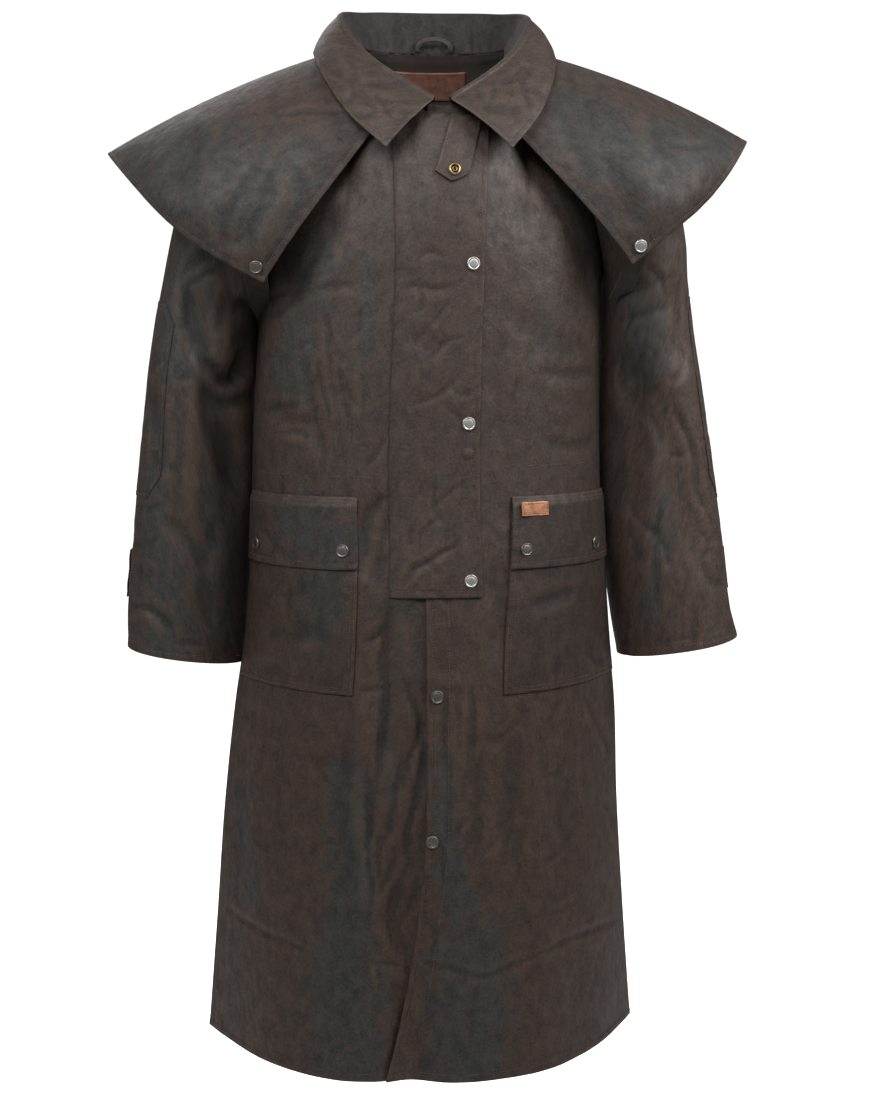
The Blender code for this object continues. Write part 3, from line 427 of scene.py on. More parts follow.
SLEEVE_CREASES = {
    "right": drawn_paths(CREASE, """
        5 2.4 0.8 -300 272 -281 257 -255 242
        5 2.4 0.8 -303 281 -281 268 -254 251
        5 2.2 0.8 -300 292 -279 282 -250 264
        10 5 0.5 -295 280 -289 319 -281 356 -272 395
        9 6.4 -0.8 -281 370 -262 394 -246 406 -234 394 -226 362
        14 4 -0.2 -279 400 -256 424 -236 426 -226 410
        16 7 0.5 -274 400 -262 449 -247 500 -232 555
        12 4 0.4 -228 325 -232 390 -235 430
        10 -3 0 -281 300 -286 401 -291 507 -297 620
        10 3 0.5 -325 560 -298 591 -273 640
        6.5 3 0.7 -370 674 -342 679 -324 694 -314 720
        12 3 0.4 -263 560 -275 628 -272 710
        10 2.4 0.4 -340 400 -330 470 -335 540
    """),
    "left": drawn_paths(CREASE, """
        5 1.6 0.4 290 350 302 372 303 388 290 411
        5 3 0.9 287 408 297 443 313 477 322 507 326 541 349 583
        4.5 2 0.8 300 268 297 310 295 360
        6 1.4 0.6 224 308 252 292 298 273
        5 1.6 0.8 250 262 272 283 280 305
        6 1.2 0.6 226 334 256 321 292 312
        22 3 0.3 226 355 248 402 262 450 258 520
        5 1.6 0.5 288 489 299 494 313 488
        12 2.4 0.4 223 420 233 488 230 570
        6 1.4 0.5 250 568 278 596 297 650
        5 1.2 0.7 281 540 274 620 283 700
        5 1.2 0.7 262 440 276 462 281 486
        6 1.4 0.5 330 620 345 650 368 655
    """),
}
SLEEVE_BACK_CREASES = drawn_paths(CREASE, """
    10 4.6 0.6 232 330 262 345 300 335
    12 5 0.6 230 390 265 412 318 396
    10 4.4 0.6 235 440 270 456 325 436
    11 4 0.6 240 500 280 520 335 505
    14 3.4 0.4 285 560 292 630 300 700
""")
CAPE_CREASES = {
    "right": drawn_paths(CREASE, """
        22 7 0.6 -196 150 -208 191 -223 218 -252 252
        16 -3 0 -172 168 -186 212 -205 262
        5 1.6 0.8 -186 98 -145 91 -104 93
        4 1 0.6 -252 141 -235 149 -219 158
        18 3.6 0.4 -268 98 -289 147 -312 190
    """),
    "left": drawn_paths(CREASE, """
        18 3.4 0.4 188 130 215 181 240 228
        18 4 0.4 256 80 277 144 300 195
        12 2.2 0.4 145 95 167 135 185 180
        5 1.2 0.7 262 120 300 128 340 124
    """),
}
CAPE_BACK_CREASES = drawn_paths(CREASE, """
    26 6 0.4 -70 40 -120 140 -150 250
    26 6 0.4 60 40 105 140 135 250
    22 4 0.4 -10 80 -4 180 -12 290
    20 4 0.4 -160 60 -235 130 -280 190
    20 4 0.4 165 60 240 125 290 185
""")
COLLAR_CREASES = drawn_paths(CREASE, """
    6 2 0.7 -78 58 -58 62 -30 56
    6 1.8 0.7 -98 40 -90 65 -74 90
    8 2 0.6 50 60 85 52 118 34
    7 1.8 0.6 50 92 75 90 100 94
""")

# Painted shade on the waxed cloth in front, where the sleeves' inner sides, a skirt fold and a pocket lie in
# shade, then its rust-rubbed lines: half-width in mm, strength and path
PAINTED_SHADE_ZONES = drawn_paths(ZONE, """
    26 0.6 -268 410 -252 474 -240 574 -236 650
    20 0.5 -240 330 -226 420
    34 0.5 212 310 250 345 244 402
    26 0.55 212 400 216 490 220 578
    30 0.25 -40 770 -50 950
    50 0.25 150 600 170 700
""")
RUST_LINES = drawn_paths(ZONE, """
    3.5 0.9 300 268 295 360 291 415 317 498 339 568
    3 0.8 314 324 321 427 329 522
    3 0.6 311 622 305 696
    3 0.6 -232 720 -227 790 -224 850
    3 0.5 205 960 215 1040 216 1100
""")

# Grey zones of the waxed cloth in front: half-width in mm, strength and path
GREY_ZONES = drawn_paths(ZONE, """
    70 0.9 -296 159 -215 184
    50 0.8 -347 142 -296 165
    40 0.7 -226 212 -157 160
    55 0.9 180 111 249 151
    42 0.8 237 146 335 115
    24 0.7 161 181 188 229
    42 0.9 -288 260 -302 366
    36 0.9 -312 617 -325 715
    17 0.8 -327 449 -342 593
    16 0.8 -264 522 -261 720
    29 0.9 248 294 263 378
    12 0.7 284 549 270 698
    26 0.8 -129 256 -159 342 -172 407
    10 0.8 -80 263 -83 377
    35 0.8 -161 564 -120 591
    33 0.8 -132 633 -138 680
    19 0.5 -46 665 -41 747
    30 0.9 -105 865 -103 959 -106 1054 -101 1172
    47 0.9 -112 1078 -107 1197
    21 0.8 -1 839 11 958 34 1053
    50 0.9 34 1077 31 1196
    12 0.6 -64 770 -59 887
    16 0.6 -238 908 -226 1024
    15 0.4 121 319 134 366
    40 1 -70 -40 0 -30 70 -40
""")


# Surfaces shared with the solids
def fold_depth(face, x, drop):
    """How far the largest folds press in: Gaussian troughs about straight lines, faded at both ends."""
    total = np.zeros(np.broadcast(x, drop).shape)
    for fold in FOLDS.named_rows():
        if fold["face"] != face:
            continue
        along = (drop - fold["top_drop"]) / (fold["bottom_drop"] - fold["top_drop"])
        line = fold["top_x"] + (fold["bottom_x"] - fold["top_x"]) * along
        total += fold["depth"] * blend(0, 0.35, along) * blend(1, 0.75, along) * bell(x, line, fold["width"])
    return total


def section(face, share, drop):
    """A level section: x runs with the share, and y is the reach times (1 - share^square)^pinch."""
    bare = np.clip(1 - np.abs(share) ** BODY.at("square", drop), 0, 1) ** BODY.at("pinch", drop)
    reach = BODY.at("front" if face < 0 else "back", drop)
    x = BODY.at("centre_x", drop) + BODY.at("half_width", drop) * share
    y = face * (reach * bare - fold_depth(face, x, drop) * blend(0.0, 0.4, bare))
    return np.stack(np.broadcast_arrays(x, y, -drop), axis=-1)


def neckline(face, turn):
    """The neck seam: an ellipse seen from above that falls towards the front with the cosine's power 1.3."""
    angle = np.radians(turn)
    bow = np.cos(angle)
    x = NECK_CENTRE_X + NECK_HALF * np.sin(angle)
    if face < 0:
        y = NECK_SIDE[1] - NECK_FRONT_REACH * bow
        z = NECK_SIDE[2] - NECK_FRONT_FALL * np.abs(bow) ** 1.3
    else:
        y = NECK_SIDE[1] + NECK_BACK_REACH * bow
        z = NECK_SIDE[2] + NECK_BACK_RISE * bow
    return np.stack(np.broadcast_arrays(x, y, z), axis=-1)


def top_edge(face, share):
    """The neckline, then a straight shoulder seam out to the shoulder tip."""
    along = np.clip((np.abs(share) - NECK_SHARE) / (1 - NECK_SHARE), 0, 1)[..., None]
    neck = neckline(face, np.clip(share / NECK_SHARE, -1, 1) * 90)
    tip = np.broadcast_to(SHOULDER_TIP, neck.shape).copy()
    tip[..., 0] *= np.where(share < 0, -1.0, 1.0)
    return neck + (tip - neck) * along


def upper(face, share, t):
    """Hermite cubics from the underarm section up to the top edge, drawn in from the side by the armhole."""
    cut = ARMHOLE_CUT * np.sin(np.pi * t) ** 1.5 * blend(0.35, 1.0, np.abs(share))
    share = share * (1 - cut)
    low = section(face, share, np.full_like(share, UNDERARM_DROP))
    high = top_edge(face, share)
    level = blend(0.1, NECK_SHARE, np.abs(share))[..., None]
    leave = np.array([0.0, 0.0, CHEST_LEAVE])
    arrive = (NECK_ARRIVE * (1 - level) + SHOULDER_ARRIVE * level) * np.array([1, -face, 1])
    t = t[..., None]
    return low + (high - low) * (t * t * (3 - 2 * t)) + leave * t * (1 - t) ** 2 - arrive * t**2 * (1 - t)


def torso(face, share, level):
    """The torso: sections below the underarm (levels under 0, in metres), cubics above it (0 to 1)."""
    low = section(face, share, UNDERARM_DROP - np.minimum(level, 0))
    high = upper(face, share, np.clip(level, 0, 1))
    points = np.where((level > 0)[..., None], high, low)
    points[..., 1] += face * SEAM / 2
    return points


def torso_normals(face, share, level):
    """Cross product of the torso's sideways and upward differences, level at the side and shoulder seams."""
    step = 0.004
    lowest = UNDERARM_DROP - HEM_DROP
    before, after = np.clip(share - step, -1, 1), np.clip(share + step, -1, 1)
    sideways = torso(face, after, level) - torso(face, before, level)
    above, below = np.clip(level + step, lowest, 1), np.clip(level - step, lowest, 1)
    normals = np.cross(torso(face, share, above) - torso(face, share, below), sideways) * face
    side_seam = blend(0.97, 1.0, np.abs(share)) * (level < 0.001)
    shoulder_seam = blend(NECK_SHARE - 0.03, NECK_SHARE, np.abs(share)) * blend(0.97, 1.0, level)
    normals[..., 1] *= 1 - np.clip(side_seam + shoulder_seam, 0, 1)
    return unit(normals)


def armhole(sign, turn):
    """The armhole's edge: -90 degrees at the underarm, 0 in front, 90 at the shoulder, 180 behind."""
    turn = np.asarray(turn, float)
    share = np.full_like(turn, sign)
    front = torso(-1, share, np.clip((turn + 90) / 180, 0, 1))
    back = torso(1, share, np.clip((270 - turn) / 180, 0, 1))
    return np.where((turn <= 90)[..., None], front, back)


def left_front_shares(shares, level):
    """The left front's shares: its free edge swings, and its pocket's inner edge slants to the middle."""
    drop = UNDERARM_DROP - np.minimum(level, 0)
    swing = EDGE_SWING.at("share", drop) * blend(STORM_EDGE_SHARE, OVERLAP_SHARE, shares)
    near = blend(STORM_EDGE_SHARE, POCKET_EDGE_SHARE, shares)
    near = near * blend(POCKET_SLANT_END, POCKET_EDGE_SHARE, shares)
    slant = blend(FLAP_TOP_DROP, POCKET_BOTTOM_DROP, drop)
    slant = slant * blend(POCKET_SLANT_DROP, POCKET_BOTTOM_DROP, drop)
    return shares + swing - POCKET_SLANT * near * slant


def lap_offset(share):
    """How far the left front stands out over the right one at the middle."""
    return (WALL + LAP_GAP) * blend(LAP_END, LAP_START, share)


def underlap_offset(share, level):
    """How far the right front hangs in behind the left one, below the storm flap."""
    drop = UNDERARM_DROP - np.minimum(level, 0)
    near = blend(SINK_START, SINK_END, share)
    return -UNDERLAP_SINK * near * blend(STORM_BOTTOM_DROP, SINK_FULL_DROP, drop)


def storm_offset(share):
    """How far the storm flap's inner face stands off the torso, rising on to the left front."""
    return SEWN_GAP + (WALL + LAP_GAP) * blend(STORM_STEP_START, STORM_STEP_END, share)


def sleeve_ring(side, station, turn):
    """An oval ring: a slanting line from outer to inner point by the sine, and a depth by the cosine."""
    sign = sign_of(side)
    table = SLEEVES[side]
    angle = np.radians(turn)
    outer = np.stack([table.at("outer_x", station), -table.at("outer_drop", station)], axis=-1)
    inner = np.stack([table.at("inner_x", station), -table.at("inner_drop", station)], axis=-1)
    middle, reach = (outer + inner) / 2, (outer - inner) / 2
    press = np.zeros(np.broadcast(station, turn).shape)
    for fold in SLEEVE_FOLDS.named_rows():
        if fold["side"] != sign:
            continue
        along = (station - fold["station"]) / (fold["station_end"] - fold["station"])
        line = fold["turn"] + (fold["turn_end"] - fold["turn"]) * along
        apart = (turn - line + 180) % 360 - 180
        press += fold["depth"] * blend(0, 0.3, along) * blend(1, 0.7, along) * bell(apart, 0, fold["width"])
    depth = table.at("half_depth", station)
    shrink = 1 - press / depth
    xz = middle + reach * (np.sin(angle) * shrink)[..., None]
    y = table.at("centre_y", station) - depth * np.cos(angle) * shrink
    y = y + table.at("inner_back", station) * (1 - np.sin(angle)) / 2
    return np.stack([sign * xz[..., 0], y, xz[..., 1]], axis=-1)


def sleeve(side, station, turn):
    """The whole sleeve: a Hermite cubic from the armhole (station 0) to the first ring, then the rings."""
    sign = sign_of(side)
    rings = sleeve_ring(side, np.maximum(station, 1.0), turn)
    start = armhole(sign, turn) + np.array([sign * SLEEVE_GAP, 0, 0])
    first = sleeve_ring(side, np.ones_like(station), turn)
    leaving = (sleeve_ring(side, np.full_like(station, 1.05), turn) - first) / 0.05
    t = np.clip(station, 0, 1)[..., None]
    head = start + (first - start) * (t * t * (3 - 2 * t))
    head = head + (first - start) * t * (1 - t) ** 2 - leaving * 0.6 * t**2 * (1 - t)
    return np.where((station < 1)[..., None], head, rings)


def outward(turn):
    angle = np.radians(turn)
    return np.stack([np.sin(angle), -np.cos(angle), np.zeros_like(angle)], axis=-1)


def neck_round(turn):
    """The neck seam from the middle front (0) round the wearer's left to the middle back (180)."""
    front = neckline(-1, np.minimum(turn, 90))
    back = neckline(1, np.maximum(180 - turn, 0))
    return np.where((np.asarray(turn) <= 90)[..., None], front, back)


def mirrored(points, sign):
    """Points of the wearer's left, moved to the right side about the neck's middle."""
    moved = points.copy()
    moved[..., 0] = NECK_CENTRE_X + sign * (points[..., 0] - NECK_CENTRE_X)
    return moved


def cape_points(side, turn, step):
    """Straight lines from the neck to the hem, bowed out late by the swell and up evenly by the lift."""
    table = CAPE[side]
    sign = sign_of(side)
    start = neck_round(turn) + outward(turn) * CAPE_NECK_OUT
    start = mirrored(start + np.array([0, 0, CAPE_NECK_LIFT]), sign)
    end = table.points("hem_", turn) * np.array([sign, 1, 1])
    points = start + (end - start) * step[..., None]
    late_bow, even_bow = 27 / 4 * step**2 * (1 - step), 4 * step * (1 - step)
    points += outward(turn) * np.array([sign, 1, 1]) * (table.at("swell", turn) * late_bow)[..., None]
    points[..., 2] += table.at("lift", turn) * even_bow
    return points


def collar_points(turn, share):
    """The collar's fold: shares 0 to 1 climb the stand, 1 to 2 turn the roll, 2 to 3 come down the fall."""
    out = outward(turn)
    up = np.array([0.0, 0.0, 1.0])
    seam = neck_round(turn) - out * COLLAR_SEAM_INSET + up * COLLAR_SEAM_INSET
    roll, edge = COLLAR.points("roll", turn), COLLAR.points("edge", turn)
    roll[..., 0] += NECK_CENTRE_X
    edge[..., 0] += NECK_CENTRE_X
    angle = np.pi * np.clip(share - 1, 0, 1)[..., None]
    over = roll + out * COLLAR_ROLL_RADIUS + (up * np.sin(angle) - out * np.cos(angle)) * COLLAR_ROLL_RADIUS
    past = roll + out * 2 * COLLAR_ROLL_RADIUS
    climb, down = np.clip(share, 0, 1)[..., None], np.clip(share - 2, 0, 1)[..., None]
    rising = seam + (roll - seam) * climb
    falling = past + (edge - past) * down + (out + up) * (COLLAR_BOW * 4 * down * (1 - down))
    return np.where((share <= 1)[..., None], rising, np.where((share >= 2)[..., None], falling, over))


# Cloth detail: noise, creases and sewn edges
NOISE_CELLS = 64
EDGES = ("first_row", "last_row", "first_column", "last_column")
FLAT_EDGE = {"rise": 0.0, "groove": 0.0003}
EDGE_STEPS = np.array([0.0, 0.0018, 0.0036, 0.0054, 0.0070, 0.0086, 0.0104, 0.0130])
CREASE_SAMPLES = 41
CRISP_WIDTH = 0.0075
CREASE_GAIN = 1.05
# Painted shade: a thin dark shadow line along each sewn seam
SEAM_SHADE = 0.9
SEAM_SHADE_WIDTH = 0.0020


def lattice_noise(u, v, seed):
    """Gradient noise of about -1 to 1: random slopes on a lattice, eased by 6t⁵ - 15t⁴ + 10t³."""
    angles = np.random.default_rng(seed).uniform(0, 2 * np.pi, (NOISE_CELLS, NOISE_CELLS))
    cell_u, cell_v = np.floor(u).astype(int), np.floor(v).astype(int)
    in_u, in_v = u - cell_u, v - cell_v
    ease_u, ease_v = (t**3 * (t * (6 * t - 15) + 10) for t in (in_u, in_v))
    total = np.zeros(np.broadcast(u, v).shape)
    for step_u, weight_u in ((0, 1 - ease_u), (1, ease_u)):
        for step_v, weight_v in ((0, 1 - ease_v), (1, ease_v)):
            angle = angles[(cell_u + step_u) % NOISE_CELLS, (cell_v + step_v) % NOISE_CELLS]
            slope = np.cos(angle) * (in_u - step_u) + np.sin(angle) * (in_v - step_v)
            total += slope * weight_u * weight_v
    return total * 1.5


def crumple(x, drop, seed):
    """Hand-worn unevenness: broad swells and dents, with small ridges that noise gathers in some places."""
    broad = 0.0010 * lattice_noise(x / 0.105, drop / 0.150, seed)
    middle = 0.0004 * lattice_noise(x / 0.043, drop / 0.066, seed + 1)
    bend = 0.4 * lattice_noise(x / 0.060, drop / 0.090, seed + 2)
    ridges = 0.0007 * (0.25 - np.abs(lattice_noise(x / 0.030 + bend, drop / 0.044 - bend, seed + 3)))
    fine = 0.00022 * lattice_noise(x / 0.014, drop / 0.019, seed + 4)
    worked = blend(-0.25, 0.45, lattice_noise(x / 0.085, drop / 0.110, seed + 5))
    return broad + middle + (ridges + fine) * (0.30 + worked)


def small_wrinkles(seed, count, x_span, drop_span, depth):
    """Short fine creases at seeded places, most of them upright, each bent a little at its middle."""
    chance = np.random.default_rng(seed)
    creases = []
    for _ in range(count):
        start = chance.uniform((x_span[0], drop_span[0]), (x_span[1], drop_span[1]))
        turn = chance.normal(0.0, 0.5) + (1.4 if chance.random() < 0.35 else 0.0)
        ahead = np.array([math.sin(turn), math.cos(turn)]) * chance.uniform(0.020, 0.060)
        aside = np.array([ahead[1], -ahead[0]]) * chance.uniform(-0.22, 0.22)
        shape = (chance.uniform(0.0036, 0.0055), depth * chance.uniform(0.3, 1.0), chance.choice((-0.8, 0.8)))
        creases.append((*shape, (start, start + ahead / 2 + aside, start + ahead)))
    return tuple(creases)


def smooth_path(points, count):
    """A cubic through the points by their running length, with slopes from the neighbouring points."""
    points = np.asarray(points, float)
    lengths = run_along(points)
    keys = np.linspace(0, lengths[-1], count)
    return np.column_stack([cubic(lengths, values, keys) for values in points.T])


def beside_path(points, reach, x, drop):
    """Which places lie near a smooth path, and for each of them how far along, to the side and away it is."""
    path = smooth_path(points, CREASE_SAMPLES)
    low, high = path.min(axis=0) - reach, path.max(axis=0) + reach
    near = (x > low[0]) & (x < high[0]) & (drop > low[1]) & (drop < high[1])
    place = np.stack([x[near], drop[near]], axis=-1)
    apart = place[:, None, :] - path[None]
    squares = np.sum(apart**2, axis=-1)
    closest = np.argmin(squares, axis=1)
    along_path = unit(np.gradient(path, axis=0))[closest]
    off = apart[np.arange(len(place)), closest]
    length = np.sum(np.linalg.norm(np.diff(path, axis=0), axis=1))
    along = closest / (CREASE_SAMPLES - 1) + np.sum(off * along_path, axis=-1) / length
    side = off[:, 0] * along_path[:, 1] - off[:, 1] * along_path[:, 0]
    return near, along, side, np.sqrt(squares.min(axis=1))


def crease_relief(creases, x, drop, gain=CREASE_GAIN):
    """Sum of the creases: a trough across each path, a raised lip beside it, both fading at the path's ends.

    Across the path s is the distance over the half-width. The trough is -exp(-s²), or -exp(-|s|^1.4) where
    it is crisp, and the lip is a hump at s = 1.6 on the side that the lip's sign gives.
    """
    total = np.zeros(np.broadcast(x, drop).shape)
    for width, depth, lip, points in creases:
        near, along, side, _ = beside_path(points, 4 * width, x, drop)
        fade = blend(-0.04, 0.30, along) * blend(1.04, 0.70, along)
        s = side / (width * (0.55 + 0.45 * fade))
        trough = np.exp(-np.abs(s) ** (1.4 if width < CRISP_WIDTH else 2.0))
        hump = bell(s * np.sign(lip), 1.6, 0.85) + 0.35 * bell(s * np.sign(lip), -1.7, 0.9)
        total[near] += gain * depth * fade * (0.40 * abs(lip) * hump - trough)
    return total


def zone_tone(zones, points):
    """How strongly zones show, 0 to 1: soft bands about their paths, seen from the front."""
    x, drop = points[..., 0], -points[..., 2]
    placed = np.zeros(x.shape)
    for width, strength, path in zones:
        near, _, _, away = beside_path(path, 1.6 * width, x, drop)
        placed[near] = np.maximum(placed[near], strength * blend(1.6, 0.2, away / width))
    return placed


def front_tone(zones, cloth):
    """The zones' tone on the cloth that faces the front."""
    return zone_tone(zones, cloth.outer) * blend(0.1, 0.4, -cloth.normals[..., 1])


def grey_tone(cloth):
    """How grey the cloth is, 0 to 1: the grey zones in front, and noise where it faces away."""
    around = lattice_noise(cloth.outer[..., 0] / 0.12, -cloth.outer[..., 2] / 0.24, 5)
    ahead = blend(0.3, -0.2, cloth.normals[..., 1])
    return zone_tone(GREY_ZONES, cloth.outer) * ahead + np.clip(0.35 + 0.9 * around, 0, 1) * (1 - ahead)


def graded(length, step, first=True, last=True):
    """Places from 0 to 1 along a length, close together near the sewn ends and a step apart between them."""
    start = EDGE_STEPS if first else np.zeros(1)
    end = length - EDGE_STEPS[::-1] if last else np.full(1, length)
    count = max(int(round((end[0] - start[-1]) / step)), 2)
    middle = np.linspace(start[-1], end[0], count + 1)[1:-1]
    return np.concatenate([start, middle, end]) / length


def edge_distances(points):
    """How far each grid point is, along the cloth, from the first and last rows and columns."""
    from_first_row = run_along(points)
    from_first_column = run_along(points.swapaxes(0, 1)).swapaxes(0, 1)
    return {
        "first_row": from_first_row,
        "last_row": from_first_row[-1:] - from_first_row,
        "first_column": from_first_column,
        "last_column": from_first_column[:, -1:] - from_first_column,
    }


def sewn_edge(points, edge, inset, seed, rise=0.0005, groove=0.0006, pucker=0.0004):
    """A turned edge: raised as far as its stitch line, grooved there, and puckered beside it by noise."""
    distances = edge_distances(points)
    away = distances[edge]
    along = distances["first_column" if edge.endswith("row") else "first_row"]
    raised = rise * (1 - blend(inset + 0.0005, inset + 0.0040, away))
    sunk = groove * bell(away, inset, 0.0016)
    drawn = pucker * lattice_noise(along / 0.011, away / 0.03, seed) * bell(away, inset, 0.008)
    waved = 1.6 * pucker * lattice_noise(along / 0.060, away / 0.20, seed + 1) * bell(away, 0, 0.030)
    return raised - sunk + drawn + waved


def sewn_edges(points, seeds, inset, **shape):
    """The relief of several turned edges, each with its own seed."""
    return sum(sewn_edge(points, edge, inset, seed, **shape) for edge, seed in seeds.items())


class Cloth:
    """A grid of cloth: a dressed outer face, an inner face, its worn edges and ridges, and its painted shade.
    """

    def __init__(self, base, normals, relief, inner, outer, wrap=False, seams=()):
        self.shape = base.shape[:2]
        self.wrap = wrap
        self.seams = seams
        self.base = base
        # Painted shade over the piece, 0 to 1, one value or a grid
        self.shade = 0.0
        self.relief = np.broadcast_to(relief, self.shape)
        self.outer = base + normals * np.broadcast_to(self.relief + outer, self.shape)[..., None]
        self.inner = base + normals * np.broadcast_to(self.relief + inner, self.shape)[..., None]
        turned = normals_of(self.outer, wrap)
        self.faces_out = float(np.sum(turned * normals)) > 0
        self.normals = turned if self.faces_out else -turned

    def wear_and_painted_shade(self, edge_width=0.0024):
        """Worn places: the rim but for its seams, fading inward, and the ridge value where the relief bends,
        whose ridges are rubbed paler and whose troughs carry painted shade.
        """
        distances = edge_distances(self.outer)
        edges = ("first_row", "last_row") if self.wrap else tuple(distances)
        free = [distances[edge] for edge in edges if edge not in self.seams]
        away = np.min(free + [np.ones(self.shape)], axis=0)
        spread = self.relief
        for _ in range(3):
            padded = np.pad(spread, 1, mode="edge")
            spread = (padded[:-2, 1:-1] + padded[2:, 1:-1] + padded[1:-1, :-2] + padded[1:-1, 2:]) / 4
        ridge = np.clip((self.relief - spread) / 0.00022, -1, 1)
        return np.clip(0.9 * np.exp(-away / edge_width), 0, 1), ridge


def line_at(cloth, edge, inset, start=0.0, end=0.0):
    """A line on the outer face at an inset from an edge, less a length at each end, with its normals."""
    points, normals = cloth.outer, cloth.normals
    if edge.endswith("column"):
        points, normals = points.swapaxes(0, 1), normals.swapaxes(0, 1)
    if edge.startswith("last"):
        points, normals = points[::-1], normals[::-1]
    reach = run_along(points)
    low = np.clip(np.sum(reach < inset, axis=0) - 1, 0, points.shape[0] - 2)
    columns = np.arange(points.shape[1])
    part = ((inset - reach[low, columns]) / (reach[low + 1, columns] - reach[low, columns]))[:, None]
    line = points[low, columns] * (1 - part) + points[low + 1, columns] * part
    if cloth.wrap:
        line = np.concatenate([line, line[:1]])
        normals = np.concatenate([normals, normals[:, :1]], axis=1)
        low = np.append(low, low[0])
        columns = np.append(columns, 0)
    run = run_along(line)
    kept = (run >= start) & (run <= run[-1] - end)
    return line[kept], normals[low, columns][kept]


def line_across(cloth, drop, x_low, x_high):
    """A level line on the outer face at the row nearest a drop, between two places across, with normals."""
    columns = np.arange(cloth.shape[1])
    rows = np.argmin(np.abs(cloth.base[..., 2] + drop), axis=0)
    line, normals = cloth.outer[rows, columns], cloth.normals[rows, columns]
    kept = (line[:, 0] > x_low) & (line[:, 0] < x_high)
    return line[kept], normals[kept]


# Meshes
def mesh_object(name, vertices, quads, corner_uv=None, attributes=None):
    """A smooth-shaded mesh of quads at the origin, with a UV map in metres and point attributes if given."""
    mesh = bpy.data.meshes.new(name)
    mesh.vertices.add(len(vertices))
    mesh.vertices.foreach_set("co", np.ascontiguousarray(vertices, np.float32).ravel())
    mesh.loops.add(quads.size)
    mesh.loops.foreach_set("vertex_index", np.ascontiguousarray(quads, np.int32).ravel())
    mesh.polygons.add(len(quads))
    mesh.polygons.foreach_set("loop_start", np.arange(0, quads.size, 4, dtype=np.int32))
    mesh.polygons.foreach_set("loop_total", np.full(len(quads), 4, np.int32))
    if corner_uv is not None:
        layer = mesh.uv_layers.new(name="cloth")
        layer.data.foreach_set("uv", np.ascontiguousarray(corner_uv, np.float32).ravel())
    for attribute, values in (attributes or {}).items():
        mesh.attributes.new(attribute, "FLOAT", "POINT").data.foreach_set("value", values.astype(np.float32))
    mesh.update(calc_edges=True)
    mesh.shade_smooth()
    made = bpy.data.objects.new(name, mesh)
    bpy.context.scene.collection.objects.link(made)
    return made


def rim_loops(rows, columns, wrap):
    """Grid indices round the free edges, in the direction of the faces."""
    index = np.arange(rows * columns).reshape(rows, columns)
    if wrap:
        return [index[0], index[-1][::-1]]
    return [np.concatenate([index[0, :-1], index[:-1, -1], index[-1, :0:-1], index[:0:-1, 0]])]


